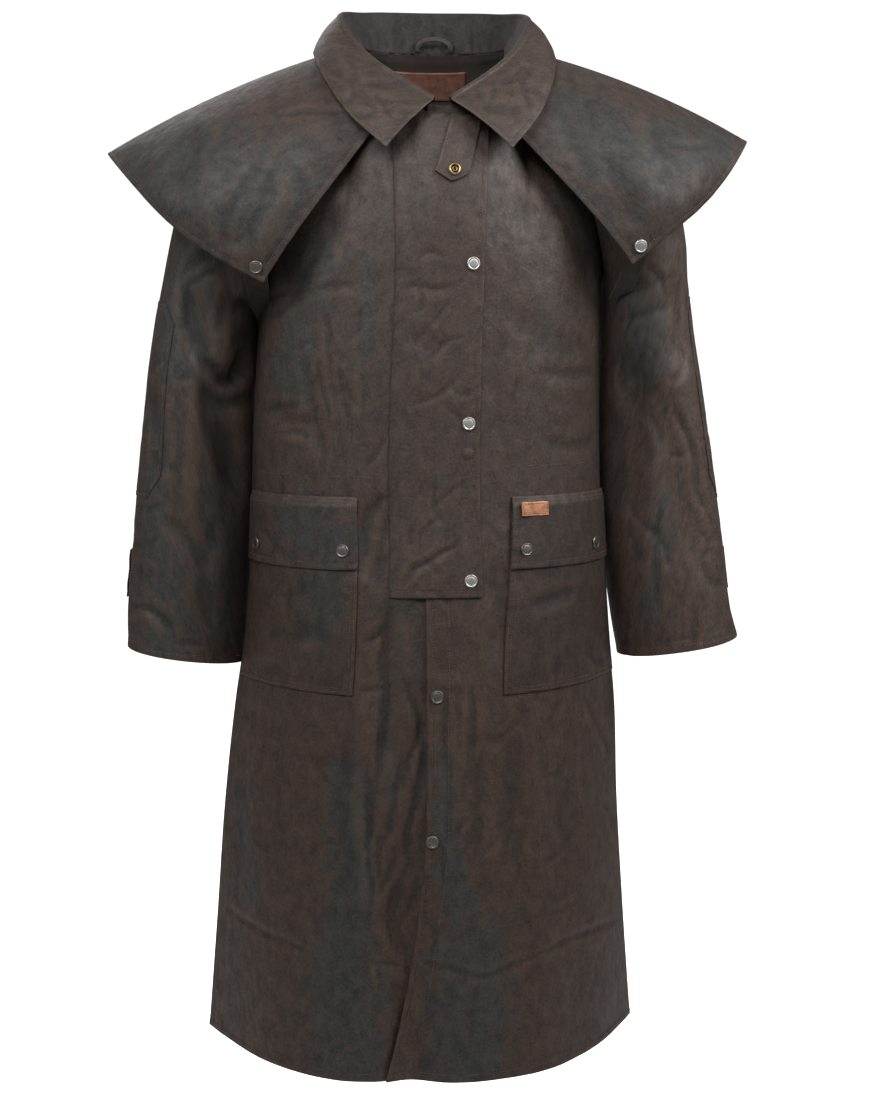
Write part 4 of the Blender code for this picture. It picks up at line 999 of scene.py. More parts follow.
def cloth_mesh(name, cloth):
    """A closed wall: the outer grid, the inner grid reversed, and a rounded rim through a middle line."""
    rows, columns = cloth.shape
    count = rows * columns
    row, column = grid(np.arange(rows - 1), np.arange(columns if cloth.wrap else columns - 1))
    row, column = row.astype(int).ravel(), column.astype(int).ravel()
    after = (column + 1) % columns
    cells = np.stack([row * columns + column, row * columns + after,
                      (row + 1) * columns + after, (row + 1) * columns + column], axis=-1)
    closed = np.concatenate([cloth.outer, cloth.outer[:, :1]], axis=1) if cloth.wrap else cloth.outer
    distances = edge_distances(closed)
    u = distances["first_column"] - distances["first_column"].mean(axis=1, keepdims=True)
    v = distances["first_row"]
    corners = [(row, column), (row, column + 1), (row + 1, column + 1), (row + 1, column)]
    cell_uv = np.stack([np.stack([u[corner], v[corner]], axis=-1) for corner in corners], axis=1)
    away = np.zeros(cloth.outer.shape)
    away[0] += unit(cloth.outer[0] - cloth.outer[1])
    away[-1] += unit(cloth.outer[-1] - cloth.outer[-2])
    if not cloth.wrap:
        away[:, 0] += unit(cloth.outer[:, 0] - cloth.outer[:, 1])
        away[:, -1] += unit(cloth.outer[:, -1] - cloth.outer[:, -2])
    thick = np.linalg.norm(cloth.outer - cloth.inner, axis=-1, keepdims=True)
    middle = ((cloth.outer + cloth.inner) / 2 + unit(away) * thick * 0.30).reshape(-1, 3)
    worn, ridge = cloth.wear_and_painted_shade()
    worn = np.maximum(worn, front_tone(RUST_LINES, cloth)).ravel()
    # Painted shade: the piece's own shade, the shade zones in front, and a dark shadow line along each sewn
    # seam
    sewn = np.min([distances[edge][:, :columns] for edge in cloth.seams] + [np.ones(cloth.shape)], axis=0)
    shade = np.maximum(cloth.shade, front_tone(PAINTED_SHADE_ZONES, cloth))
    shade = np.maximum(shade, SEAM_SHADE * np.exp(-sewn / SEAM_SHADE_WIDTH)).ravel()
    grey = grey_tone(cloth).ravel()
    flat = np.stack([u[:, :columns].ravel(), v[:, :columns].ravel()], axis=-1)
    quads, uvs = [cells, cells[:, ::-1] + count], [cell_uv, cell_uv[:, ::-1]]
    start = 2 * count
    loops = rim_loops(rows, columns, cloth.wrap)
    for loop in loops:
        following = np.roll(loop, -1)
        mid = start + np.arange(len(loop))
        mid_following = np.roll(mid, -1)
        quads += [np.stack([following, loop, mid, mid_following], axis=-1),
                  np.stack([mid_following, mid, loop + count, following + count], axis=-1)]
        uvs += [np.stack([flat[following], flat[loop], flat[loop], flat[following]], axis=1)] * 2
        start += len(loop)
    quads, uvs = np.concatenate(quads), np.concatenate(uvs)
    if not cloth.faces_out:
        quads, uvs = quads[:, ::-1], uvs[:, ::-1]
    rim = np.concatenate(loops)
    vertices = np.concatenate([cloth.outer.reshape(-1, 3), cloth.inner.reshape(-1, 3), middle[rim]])
    attributes = {
        "worn": np.concatenate([worn, np.zeros(count), worn[rim]]),
        "ridge": np.concatenate([ridge.ravel(), np.zeros(count + len(rim))]),
        "grey": np.concatenate([grey, grey, grey[rim]]),
        "shade": np.concatenate([shade, shade, shade[rim]]),
    }
    return mesh_object(name, vertices, quads, uvs, attributes)


THREAD_STEPS = np.array([0.10, 0.50, 0.90])
THREAD_GIRTH = np.array([0.75, 1.0, 0.75])


def thread_mesh(name, lines, pitch, radius):
    """Stitches along lines: each a short four-sided thread that swells in the middle and dips at its ends."""
    starts, ends, lifts = [], [], []
    for points, normals in lines:
        run = run_along(points)
        first = np.arange(0.25 * pitch, run[-1] - 0.75 * pitch, pitch)
        for keys, kept in ((first, starts), (first + 0.72 * pitch, ends)):
            kept.append(np.column_stack([np.interp(keys, run, points[:, axis]) for axis in range(3)]))
        middle = first + 0.36 * pitch
        lifts.append(unit(np.column_stack([np.interp(middle, run, normals[:, axis]) for axis in range(3)])))
    starts, ends, lifts = np.concatenate(starts), np.concatenate(ends), np.concatenate(lifts)
    along = unit(ends - starts)
    side = unit(np.cross(along, lifts))
    count = len(starts)
    round_thread = [side, lifts, -side, -lifts]
    rings = [
        starts + (ends - starts) * step + (spoke * girth + lifts * 0.35) * radius
        for step, girth in zip(THREAD_STEPS, THREAD_GIRTH) for spoke in round_thread
    ]
    tips = [starts - lifts * radius * 0.6, ends - lifts * radius * 0.6]
    vertices = np.stack(rings + tips, axis=1)
    per_thread = vertices.shape[1]
    turn = np.arange(4)
    after = (turn + 1) % 4
    first_tip, last_tip = per_thread - 2, per_thread - 1
    sides = [np.stack([ring + turn, ring + 4 + turn, ring + 4 + after, ring + after], axis=-1)
             for ring in (0, 4)]
    caps = [(first_tip, 0, 1, 2), (first_tip, 2, 3, 0), (last_tip, 10, 9, 8), (last_tip, 8, 11, 10)]
    shape = np.concatenate(sides + [np.array(caps)])
    quads = (shape[None] + (np.arange(count) * per_thread)[:, None, None]).reshape(-1, 4)
    return mesh_object(name, vertices.reshape(-1, 3), quads)


def turned_mesh(name, centre, normal, profile, open_middle=False, segments=40):
    """A turned metal piece: a profile of radius and height carried round an axis.

    The profile runs from the middle of the upper face over the rim and back below. It closes on itself
    where the middle is open, and otherwise a fan closes it at each pole.
    """
    normal = unit(np.asarray(normal, float))
    side = unit(np.cross(normal, (0.0, 0.0, 1.0)))
    up = np.cross(normal, side)
    turns = np.linspace(0, 2 * np.pi, segments, endpoint=False)
    spokes = np.cos(turns)[:, None] * side + np.sin(turns)[:, None] * up
    profile = np.asarray(profile, float)
    rings = centre + spokes[None] * profile[:, 0, None, None] + normal * profile[:, 1, None, None]
    vertices = rings.reshape(-1, 3)
    turn, after = np.arange(segments), (np.arange(segments) + 1) % segments
    steps = len(profile) if open_middle else len(profile) - 1
    quads = [np.stack([low * segments + turn, high * segments + turn, high * segments + after,
                       low * segments + after], axis=-1)
             for low, high in ((ring, (ring + 1) % len(profile)) for ring in range(steps))]
    if not open_middle:
        even = np.arange(0, segments, 2)
        last = (len(profile) - 1) * segments
        fan = [np.zeros_like(even), even, even + 1, (even + 2) % segments]
        top, bottom = len(vertices), len(vertices) + 1
        quads.append(np.stack([fan[0] + top, fan[1], fan[2], fan[3]], axis=-1))
        quads.append(np.stack([fan[0] + bottom, fan[3] + last, fan[2] + last, fan[1] + last], axis=-1))
        poles = centre + normal * profile[[0, -1], 1][:, None]
        vertices = np.concatenate([vertices, poles])
    return mesh_object(name, vertices, np.concatenate(quads))


# Materials
def set_inputs(tree, node, inputs):
    """Sets each named or numbered input of a shader node to a value, or links it."""
    for key, value in inputs.items():
        if isinstance(value, bpy.types.NodeSocket):
            tree.links.new(value, node.inputs[key])
        else:
            node.inputs[key].default_value = value


def add_node(tree, kind, inputs=None, **settings):
    made = tree.nodes.new(kind)
    for key, value in settings.items():
        setattr(made, key, value)
    set_inputs(tree, made, inputs or {})
    return made


def noise(tree, vector, scale, detail=3.0, roughness=0.5, distortion=0.0):
    """Noise of about 0 to 1 on a vector that is scaled along each axis."""
    scaled = add_node(tree, "ShaderNodeMapping", {"Vector": vector, "Scale": scale}).outputs["Vector"]
    inputs = {"Vector": scaled, "Scale": 1.0, "Detail": detail, "Roughness": roughness,
              "Distortion": distortion}
    return add_node(tree, "ShaderNodeTexNoise", inputs).outputs["Fac"]


def ramp(tree, value, low, high, start=0.0, end=1.0):
    """A soft step of a value, from start at low to end at high."""
    inputs = {"Value": value, "From Min": low, "From Max": high, "To Min": start, "To Max": end}
    return add_node(tree, "ShaderNodeMapRange", inputs, interpolation_type="SMOOTHSTEP").outputs["Result"]


def maths(tree, operation, first, second):
    return add_node(tree, "ShaderNodeMath", {0: first, 1: second}, operation=operation).outputs["Value"]


def mix(tree, factor, first, second, blend_type="MIX"):
    inputs = {0: factor, 6: first, 7: second}
    return add_node(tree, "ShaderNodeMix", inputs, data_type="RGBA", blend_type=blend_type).outputs[2]


def new_material(name):
    made = bpy.data.materials.new(name)
    made.use_nodes = True
    return made, made.node_tree, made.node_tree.nodes["Principled BSDF"]


def attribute(tree, name):
    return add_node(tree, "ShaderNodeAttribute", attribute_name=name).outputs["Fac"]


def opaque(colour, gain=1.0):
    return (*(channel * gain for channel in colour), 1.0)


# The colour that painted shade darkens the waxed cloth towards
DEEP_SHADE = (0.006, 0.005, 0.005, 1.0)


def waxed_cotton(name, seed, tone=1.0):
    """Waxed cotton: brown, browner lower down, with grey zones, fine rust streaks, paler rubbed edges and
    ridges, and painted shade in its creases' troughs and where its shade attribute is set.

    The tone is painted light or shade over the whole piece: above 1 it is paler, as if more light fell on it,
    and below 1 darker, as if in shade.
    """
    colours = bpy.context.scene.coat_colours
    made, tree, shader = new_material(name)
    flat = add_node(tree, "ShaderNodeUVMap", uv_map="cloth").outputs["UV"]
    shift = np.random.default_rng(seed).uniform(-20, 20, 2)
    flat = add_node(tree, "ShaderNodeMapping", {"Vector": flat, "Location": (*shift, 0.0)}).outputs["Vector"]
    place = add_node(tree, "ShaderNodeTexCoord").outputs["Object"]
    height = add_node(tree, "ShaderNodeSeparateXYZ", {0: place}).outputs["Z"]
    clouds = noise(tree, flat, (60.0, 44.0, 1.0), 7.0, 0.72, 0.3)
    speckle = noise(tree, flat, (300.0, 300.0, 1.0), 4.0, 0.75)
    blots = noise(tree, flat, (62.0, 40.0, 1.0), 7.0, 0.72, 0.3)
    patches = maths(tree, "ADD", maths(tree, "MULTIPLY", attribute(tree, "grey"), 0.28), blots)
    patches = ramp(tree, patches, 0.55, 0.72)
    streaks = ramp(tree, noise(tree, flat, (320.0, 6.0, 1.0), 2.0, 0.5), 0.58, 0.74)
    gathered = ramp(tree, noise(tree, flat, (13.0, 5.0, 1.0), 3.0), 0.42, 0.66)
    streaks = maths(tree, "MULTIPLY", streaks, gathered)
    veins = maths(tree, "SUBTRACT", noise(tree, flat, (18.0, 5.0, 1.0), 4.0, 0.60, 0.2), 0.5)
    veins = ramp(tree, maths(tree, "ABSOLUTE", veins, 0.0), 0.010, 0.0)
    veins = maths(tree, "MULTIPLY", veins, ramp(tree, noise(tree, flat, (9.0, 4.0, 1.0), 2.0), 0.48, 0.64))
    brown = mix(tree, ramp(tree, height, -0.55, -0.90), opaque(colours.brown), opaque(colours.low_brown))
    colour = mix(tree, patches, brown, opaque(colours.grey))
    rust = maths(tree, "ADD", maths(tree, "MULTIPLY", streaks, 0.30), maths(tree, "MULTIPLY", veins, 0.34))
    colour = mix(tree, rust, colour, opaque(colours.rust))
    specks = ramp(tree, speckle, 0.3, 0.7, -0.34, 0.34)
    uneven = maths(tree, "ADD", ramp(tree, clouds, 0.25, 0.75, 0.62, 1.38), specks)
    uneven = add_node(tree, "ShaderNodeCombineColor", {0: uneven, 1: uneven, 2: uneven}).outputs["Color"]
    colour = mix(tree, 1.0, colour, uneven, "MULTIPLY")
    # Painted light or shade over the whole piece, by its tone
    colour = mix(tree, 1.0, colour, (tone, tone, tone, 1.0), "MULTIPLY")
    ridge = attribute(tree, "ridge")
    rubbed = maths(tree, "MULTIPLY", attribute(tree, "worn"), ramp(tree, clouds, 0.30, 0.62, 0.0, 0.26))
    rubbed = maths(tree, "MAXIMUM", rubbed, maths(tree, "MULTIPLY", ramp(tree, ridge, 0.15, 0.9), 0.15))
    colour = mix(tree, rubbed, colour, opaque(colours.worn))
    shade = attribute(tree, "shade")
    # Painted shade: the creases' troughs and the shade attribute darken the colour towards DEEP_SHADE, and
    # the shade also dulls the gloss
    dark = maths(tree, "ADD", ramp(tree, ridge, -0.1, -0.9, 0.0, 0.27), maths(tree, "MULTIPLY", shade, 0.48))
    colour = mix(tree, dark, colour, DEEP_SHADE)
    dull = maths(tree, "MULTIPLY", shade, 0.25)
    gloss = maths(tree, "ADD", ramp(tree, clouds, 0.25, 0.75, 0.64, 0.50), dull)
    grain = add_node(tree, "ShaderNodeBump", {"Strength": 0.30, "Distance": 0.0003, "Height": speckle})
    crinkle = noise(tree, flat, (95.0, 60.0, 1.0), 5.0, 0.60, 0.6)
    bump = add_node(tree, "ShaderNodeBump", {"Strength": 0.85, "Distance": 0.0012, "Height": crinkle,
                                             "Normal": grain.outputs["Normal"]})
    set_inputs(tree, shader, {"Base Color": colour, "Roughness": gloss, "Specular IOR Level": 0.26,
                              "Normal": bump.outputs["Normal"]})
    return made


def plain_cotton(name):
    """The facing's cotton: dark brown with a little soft unevenness."""
    colours = bpy.context.scene.coat_colours
    made, tree, shader = new_material(name)
    flat = add_node(tree, "ShaderNodeUVMap", uv_map="cloth").outputs["UV"]
    uneven = noise(tree, flat, (60.0, 60.0, 1.0), 4.0)
    toned = mix(tree, uneven, opaque(colours.facing, 0.75), opaque(colours.facing, 1.25))
    set_inputs(tree, shader, {"Base Color": toned, "Roughness": 0.8, "Specular IOR Level": 0.25})
    return made


def leather(name, colour, grain):
    """Leather: mottled by soft noise, with a fine pebbled bump."""
    made, tree, shader = new_material(name)
    place = add_node(tree, "ShaderNodeTexCoord").outputs["Object"]
    mottle = noise(tree, place, (130.0, 130.0, 130.0), 5.0, 0.6)
    toned = mix(tree, ramp(tree, mottle, 0.3, 0.7), opaque(colour, 0.62), opaque(colour, 1.30))
    pebbles = noise(tree, place, (grain, grain, grain), 2.0)
    bump = add_node(tree, "ShaderNodeBump", {"Strength": 0.35, "Distance": 0.0003, "Height": pebbles})
    set_inputs(tree, shader, {"Base Color": toned, "Roughness": 0.55, "Normal": bump.outputs["Normal"]})
    return made


def metal(name, colour, roughness, tarnish):
    """Metal with soft tarnish: the colour darkens and the gloss dulls by noise."""
    made, tree, shader = new_material(name)
    place = add_node(tree, "ShaderNodeTexCoord").outputs["Object"]
    marks = ramp(tree, noise(tree, place, (420.0, 420.0, 420.0), 4.0, 0.6), 0.35, 0.75)
    toned = mix(tree, marks, opaque(colour), opaque(colour, tarnish))
    dulled = ramp(tree, marks, 0.0, 1.0, roughness, roughness + 0.2)
    set_inputs(tree, shader, {"Base Color": toned, "Roughness": dulled, "Metallic": 1.0})
    return made


def thread_material(name, colour):
    """Sewing thread: its colour uneven from stitch to stitch."""
    made, tree, shader = new_material(name)
    place = add_node(tree, "ShaderNodeTexCoord").outputs["Object"]
    uneven = noise(tree, place, (90.0, 90.0, 90.0), 3.0)
    toned = mix(tree, ramp(tree, uneven, 0.35, 0.65), opaque(colour, 0.55), opaque(colour, 1.25))
    set_inputs(tree, shader, {"Base Color": toned, "Roughness": 0.7})
    return made


def shared_material(name, make, *details):
    return bpy.data.materials.get(name) or make(name, *details)


# Placing pieces
def place_piece(piece, slot, material, *nodes):
    piece.data.materials.append(material)
    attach(piece, "root")
    if nodes:
        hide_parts(*nodes)
    return piece


def sew(name, lines):
    """The stitches of one piece, as one mesh."""
    sewing = bpy.context.scene.coat_sewing
    stitches = thread_mesh(f"{name}_stitches", lines, sewing.pitch, sewing.thread / 2)
    colour = bpy.context.scene.coat_colours.thread
    return place_piece(stitches, "waxed_cloth", shared_material("sewing_thread", thread_material, colour))


def cloth_piece(node, cloth, seed, lines, slot="waxed_cloth", tone=1.0):
    """A node's cloth and its stitches. Without a seed it is of the facing's cotton."""
    if seed is None:
        material = shared_material("facing_cotton", plain_cotton)
    else:
        material = waxed_cotton(f"waxed_cotton_{node}", seed, tone)
    piece = place_piece(cloth_mesh(f"{node}_cloth", cloth), slot, material, node)
    sewn = [sew(node, lines)] if lines else []
    return piece


def leather_piece(node, cloth, slot, material, inset):
    """A plain leather rectangle for one node, with a border of stitches."""
    place_piece(cloth_mesh(f"{node}_leather", cloth), slot, material, node)
    sew(node, [line_at(cloth, edge, inset, inset, inset) for edge in EDGES])


# Torso relief, shared by every layer of the front so that none cuts through another
TORSO_CREASES = {
    -1: FRONT_CREASES + small_wrinkles(201, 80, (-0.24, 0.24), (0.16, 1.16), 0.0011),
    1: BACK_CREASES + small_wrinkles(202, 70, (-0.24, 0.24), (0.16, 1.16), 0.0012),
}
TORSO_SEEDS = {-1: 11, 1: 31}
CASING_DROP = 0.525
CASING_GATHER = 0.0005
WAIST_LINES = {"right": ((0.514, -0.21, -0.075), (0.540, -0.10, -0.070)), "left": ((0.502, 0.075, 0.185),)}
TORSO_STEP = 0.0038
BACK_STEP = 0.0058
STORM_STEP = 0.0026
STORM_WIDTH = 0.105
CHEST_LENGTH = 0.262
FRONT_WIDTH = 0.36
UNDERLAP_WIDTH = 0.03
OVERLAP_WIDTH = 0.015
HEM_INSET = 0.0086
EDGE_INSET = 0.0024
FLY_INSET = 0.026


def torso_relief(face, share, level):
    """Creases and crumple, faded at the side, armhole and top, with the front's waist gathers."""
    base = torso(face, share, level)
    x, drop = base[..., 0], -base[..., 2]
    relief = crease_relief(TORSO_CREASES[face], x, drop) + crumple(x, drop, TORSO_SEEDS[face])
    if face < 0:
        gathers = CASING_GATHER * lattice_noise(x / 0.010, drop / 0.060, 13)
        relief = relief + gathers * bell(drop, CASING_DROP, 0.016)
    return relief * blend(1.0, 0.90, np.abs(share)) * blend(1.0, 0.90, level)


def torso_levels(bottom_drop=HEM_DROP, top_level=1.0, step=TORSO_STEP):
    """Levels from a drop up to a height over the underarm, fine near the lower edge."""
    length = bottom_drop - UNDERARM_DROP
    low = UNDERARM_DROP - bottom_drop + length * graded(length, step, True, False)
    count = max(int(CHEST_LENGTH * top_level / step), 2)
    return np.concatenate([low, np.linspace(0, top_level, count + 1)[1:]])


def turned_shares(start, end, length, step=TORSO_STEP, first=True, last=True):
    """Shares between two ends, spaced by the sine of an even turn, fine near the sewn ends."""
    low, high = math.asin(start), math.asin(end)
    return np.sin(low + (high - low) * graded(length, step, first, last))


def torso_cloth(face, share, level, inner, thick, seeds, inset, extra=0.0, seams=(), **shape):
    """A layer of the torso: its relief and turned edges, by each edge's seed, at an offset from the body."""
    base = torso(face, share, level)
    relief = torso_relief(face, share, level) + extra + sewn_edges(base, seeds, inset, **shape)
    return Cloth(base, torso_normals(face, share, level), relief, inner, inner + thick, seams=seams)


def seat_on_front(share, level, lift):
    """A place on the dressed front, moved out by a lift, and the normal there."""
    share, level = np.array([[share]]), np.array([[level]])
    normal = torso_normals(-1, share, level)[0, 0]
    relief = torso_relief(-1, share, level)[0, 0]
    return torso(-1, share, level)[0, 0] + normal * (lift + relief), normal


# Settings
COLOUR = {"subtype": "COLOR", "size": 3, "min": 0, "max": 1}


class CoatColours(bpy.types.PropertyGroup):
    """Colours of the coat's cloth, thread and leather."""

    brown: bpy.props.FloatVectorProperty(
        name="Brown", description="Waxed cloth where the wax is thin",
        default=(0.0325, 0.0230, 0.0190), **COLOUR)
    low_brown: bpy.props.FloatVectorProperty(
        name="Low brown", description="Waxed cloth of the skirt", default=(0.0335, 0.0218, 0.0170), **COLOUR)
    grey: bpy.props.FloatVectorProperty(
        name="Grey", description="Waxed cloth where the wax lies thick",
        default=(0.0240, 0.0240, 0.0220), **COLOUR)
    rust: bpy.props.FloatVectorProperty(
        name="Rust", description="Vertical scuffs", default=(0.075, 0.038, 0.022), **COLOUR)
    worn: bpy.props.FloatVectorProperty(
        name="Worn", description="Rubbed edges and ridges", default=(0.085, 0.046, 0.028), **COLOUR)
    facing: bpy.props.FloatVectorProperty(
        name="Facing", description="Plain cotton inside the neck", default=(0.022, 0.0160, 0.0130), **COLOUR)
    thread: bpy.props.FloatVectorProperty(
        name="Thread", description="Topstitching thread", default=(0.075, 0.044, 0.030), **COLOUR)
    label: bpy.props.FloatVectorProperty(
        name="Label", description="Bare leather label in the neck", default=(0.095, 0.036, 0.022), **COLOUR)
    tag: bpy.props.FloatVectorProperty(
        name="Tag", description="Bare leather tag on the pocket", default=(0.330, 0.140, 0.066), **COLOUR)


class CoatSewing(bpy.types.PropertyGroup):
    """Sizes of the stitching."""

    pitch: bpy.props.FloatProperty(
        name="Pitch", description="Length from one stitch to the next", unit="LENGTH", min=0.001, max=0.02,
        default=0.0034)
    thread: bpy.props.FloatProperty(
        name="Thread", description="Thread diameter", unit="LENGTH", min=0.0002, max=0.003, default=0.0008)
    inset: bpy.props.FloatProperty(
        name="Inset", description="Stitch line's distance from an edge", unit="LENGTH", min=0.001, max=0.03,
        default=0.0070)


class CoatStage(bpy.types.PropertyGroup):
    """Floor, light and camera."""

    floor: bpy.props.FloatVectorProperty(
        name="Floor", description="Floor colour", default=(0.92, 0.92, 0.92), **COLOUR)
    key: bpy.props.FloatProperty(
        name="Key light", description="Power of the light in front", unit="POWER", min=0, default=17.8)
    side: bpy.props.FloatProperty(
        name="Side light", description="Power of the light at the left", unit="POWER", min=0, default=25.6)
    fill: bpy.props.FloatProperty(
        name="Fill light", description="Power of the light at the right", unit="POWER", min=0, default=20.2)
    rim: bpy.props.FloatProperty(
        name="Back light", description="Power of the light behind", unit="POWER", min=0, default=40.0)
    surround: bpy.props.FloatProperty(
        name="Surround", description="Strength of the light from all round", min=0, max=2, default=0.12)
    lens: bpy.props.FloatProperty(
        name="Lens", description="Camera's focal length", unit="CAMERA", min=10, max=300, default=59.62)


# Operators
class COAT_OT_fronts(bpy.types.Operator):
    """Builds the two fronts, the left lapped over the right"""

    bl_idname = "coat.fronts"
    bl_label = "Fronts"

    def execute(self, context):
        inset = context.scene.coat_sewing.inset
        levels = torso_levels()
        level, share = grid(levels, -turned_shares(UNDERLAP_SHARE, 1.0, FRONT_WIDTH + UNDERLAP_WIDTH))
        inner = underlap_offset(share, level) - WALL
        cloth = torso_cloth(-1, share, level, inner, WALL, {"first_row": 101}, HEM_INSET)
        lines = [line_at(cloth, "first_row", HEM_INSET, 0.004, 0.004)]
        lines += [line_across(cloth, *line) for line in WAIST_LINES["right"]]
        cloth_piece("front_right", cloth, 1, lines)

        level, share = grid(levels, turned_shares(OVERLAP_SHARE, 1.0, FRONT_WIDTH + OVERLAP_WIDTH))
        share = left_front_shares(share, level)
        fly = sewn_edge(torso(-1, share, level), "first_column", inset, 105, rise=0.0003)
        inner = lap_offset(share) - WALL
        cloth = torso_cloth(-1, share, level, inner, WALL, {"first_row": 103}, HEM_INSET, fly)
        lines = [line_at(cloth, "first_row", HEM_INSET, 0.010, 0.004)]
        lines += [line_at(cloth, "first_column", away, 0.010, 0.04) for away in (inset, FLY_INSET)]
        lines += [line_across(cloth, *line) for line in WAIST_LINES["left"]]
        cloth_piece("front_left", cloth, 2, lines)
        return {"FINISHED"}


class COAT_OT_back(bpy.types.Operator):
    """Builds the back panel"""

    bl_idname = "coat.back"
    bl_label = "Back"

    def execute(self, context):
        half = turned_shares(0.0, 1.0, FRONT_WIDTH, BACK_STEP, first=False)
        level, share = grid(torso_levels(step=BACK_STEP), np.concatenate([-half[:0:-1], half]))
        cloth = torso_cloth(1, share, level, -WALL, WALL, {"first_row": 107}, HEM_INSET)
        lines = [line_at(cloth, "first_row", HEM_INSET, 0.004, 0.004)]
        cloth_piece("back", cloth, 3, lines)
        return {"FINISHED"}


class COAT_OT_storm_flap(bpy.types.Operator):
    """Builds the storm flap over the front opening"""

    bl_idname = "coat.storm_flap"
    bl_label = "Storm flap"

    def execute(self, context):
        inset = context.scene.coat_sewing.inset
        levels = torso_levels(STORM_BOTTOM_DROP, STORM_TOP_LEVEL, STORM_STEP)
        level, share = grid(levels, turned_shares(*STORM_SHARES, STORM_WIDTH, STORM_STEP))
        base = torso(-1, share, level)
        bumps = np.zeros(share.shape)
        for x, drop, radius, rise in COVERED_SNAPS:
            away = np.hypot(base[..., 0] - x, base[..., 2] + drop)
            bumps += rise * blend(radius + 0.0012, radius - 0.0012, away)
        sewn = bell(edge_distances(base)["first_column"], 0, 0.006)
        inner, thick = storm_offset(share) - (SEWN_GAP - SEAM) * sewn, WALL * (1 - 0.6 * sewn)
        seeds, seams = {"first_row": 111, "last_column": 115}, ("first_column", "last_row")
        cloth = torso_cloth(-1, share, level, inner, thick, seeds, inset, bumps, seams, **FLAT_EDGE)
        lines = [line_at(cloth, "first_row", inset, inset, inset),
                 line_at(cloth, "last_column", inset, inset)]
        cloth_piece("storm_flap", cloth, 4, lines)
        return {"FINISHED"}


# Painted shade: the pockets and their flaps are darkened, the wearer's left more, as if less light fell on
# them
POCKET_PAINTED_SHADE = {"right": 0.92, "left": 0.84}
POCKET_WIDTH = 0.215
POCKET_STEP = 0.0036


class COAT_OT_pockets(bpy.types.Operator):
    """Builds the patch pockets, their flaps and the bare leather tag"""

    bl_idname = "coat.pockets"
    bl_label = "Pockets"

    def panel(self, side, bottom_drop, top_drop):
        """A grid over the pocket's place on one front, and how far it bulges."""
        length = bottom_drop - top_drop
        levels = UNDERARM_DROP - bottom_drop + length * graded(length, POCKET_STEP)
        level, share = grid(levels, turned_shares(POCKET_EDGE_SHARE, POCKET_END_SHARE, POCKET_WIDTH))
        even = (share - POCKET_EDGE_SHARE) / (POCKET_END_SHARE - POCKET_EDGE_SHARE)
        share = left_front_shares(share, level) if side == "left" else -share
        return level, share, POCKET_BULGE * blend(0, 0.20, even) * blend(1.0, 0.86, even)

    def execute(self, context):
        inset = context.scene.coat_sewing.inset
        for side, seed in (("right", 5), ("left", 7)):
            tone = POCKET_PAINTED_SHADE[side]
            level, share, bulge = self.panel(side, POCKET_BOTTOM_DROP, POCKET_TOP_DROP)
            bottom = UNDERARM_DROP - POCKET_BOTTOM_DROP
            inner = SEWN_GAP + bulge * blend(bottom, bottom + 0.04, level)
            seeds = {"first_row": 121 + seed, "first_column": 123 + seed}
            cloth = torso_cloth(-1, share, level, inner, WALL, seeds, inset, **FLAT_EDGE)
            places = ((EDGE_INSET, 0.002), (inset, inset))
            lines = [line_at(cloth, edge, *place) for edge in seeds for place in places]
            cloth_piece(f"pocket_{side}", cloth, seed, lines,
                        tone=tone)

            level, share, bulge = self.panel(side, FLAP_BOTTOM_DROP, FLAP_TOP_DROP)
            top = UNDERARM_DROP - FLAP_TOP_DROP
            inner = SEWN_GAP + blend(top, top - 0.012, level) * (WALL + SEAM + FLAP_LIFT + bulge)
            seeds = {"first_row": 127 + seed, "first_column": 129 + seed, "last_row": 131 + seed}
            cloth = torso_cloth(-1, share, level, inner, WALL, seeds, inset, **FLAT_EDGE)
            lines = [line_at(cloth, "first_row", inset, inset),
                     line_at(cloth, "first_column", inset, inset, 0.002),
                     line_at(cloth, "last_row", EDGE_INSET), line_at(cloth, "last_row", inset)]
            cloth_piece(f"pocket_flap_{side}", cloth, seed + 1, lines,
                        tone=tone)

        levels = UNDERARM_DROP - np.linspace(*TAG_DROPS[::-1], 14)
        level, share = grid(levels, np.linspace(*TAG_SHARES, 26))
        lift = SEWN_GAP + WALL + SEAM + FLAP_LIFT + WALL + SNAP_GAP + POCKET_BULGE
        shape = {"rise": 0.0, "pucker": 0.0001}
        cloth = torso_cloth(-1, share, level, lift, TAG_THICK, {"first_row": 133}, TAG_INSET, **shape)
        material = shared_material("tan_leather", leather, context.scene.coat_colours.tag, 900.0)
        leather_piece("pocket_tag", cloth, "tag_leather", material, TAG_INSET)
        return {"FINISHED"}


SLEEVE_GAIN = 1.30
SLEEVE_CRUMPLE = 1.3
SLEEVE_SEEDS = {"right": 51, "left": 61}
# Painted light: the wearer's left sleeve, its patch and cuff tab are made paler, as if more light fell on
# them
SLEEVE_PAINTED_LIGHT = {"right": 1.0, "left": 1.32}
SLEEVE_WRINKLES = small_wrinkles(203, 60, (-0.17, 0.17), (0.26, 0.78), 0.0012)
SLEEVE_RADIUS = 0.075
SLEEVE_HALF_GIRTH = 0.236
SLEEVE_COLUMNS = 112
SLEEVE_STEP = 0.0044
PATCH_STEP = 0.0042
PATCH_WIDTH = 0.13
CORNER_LENGTH = 0.022


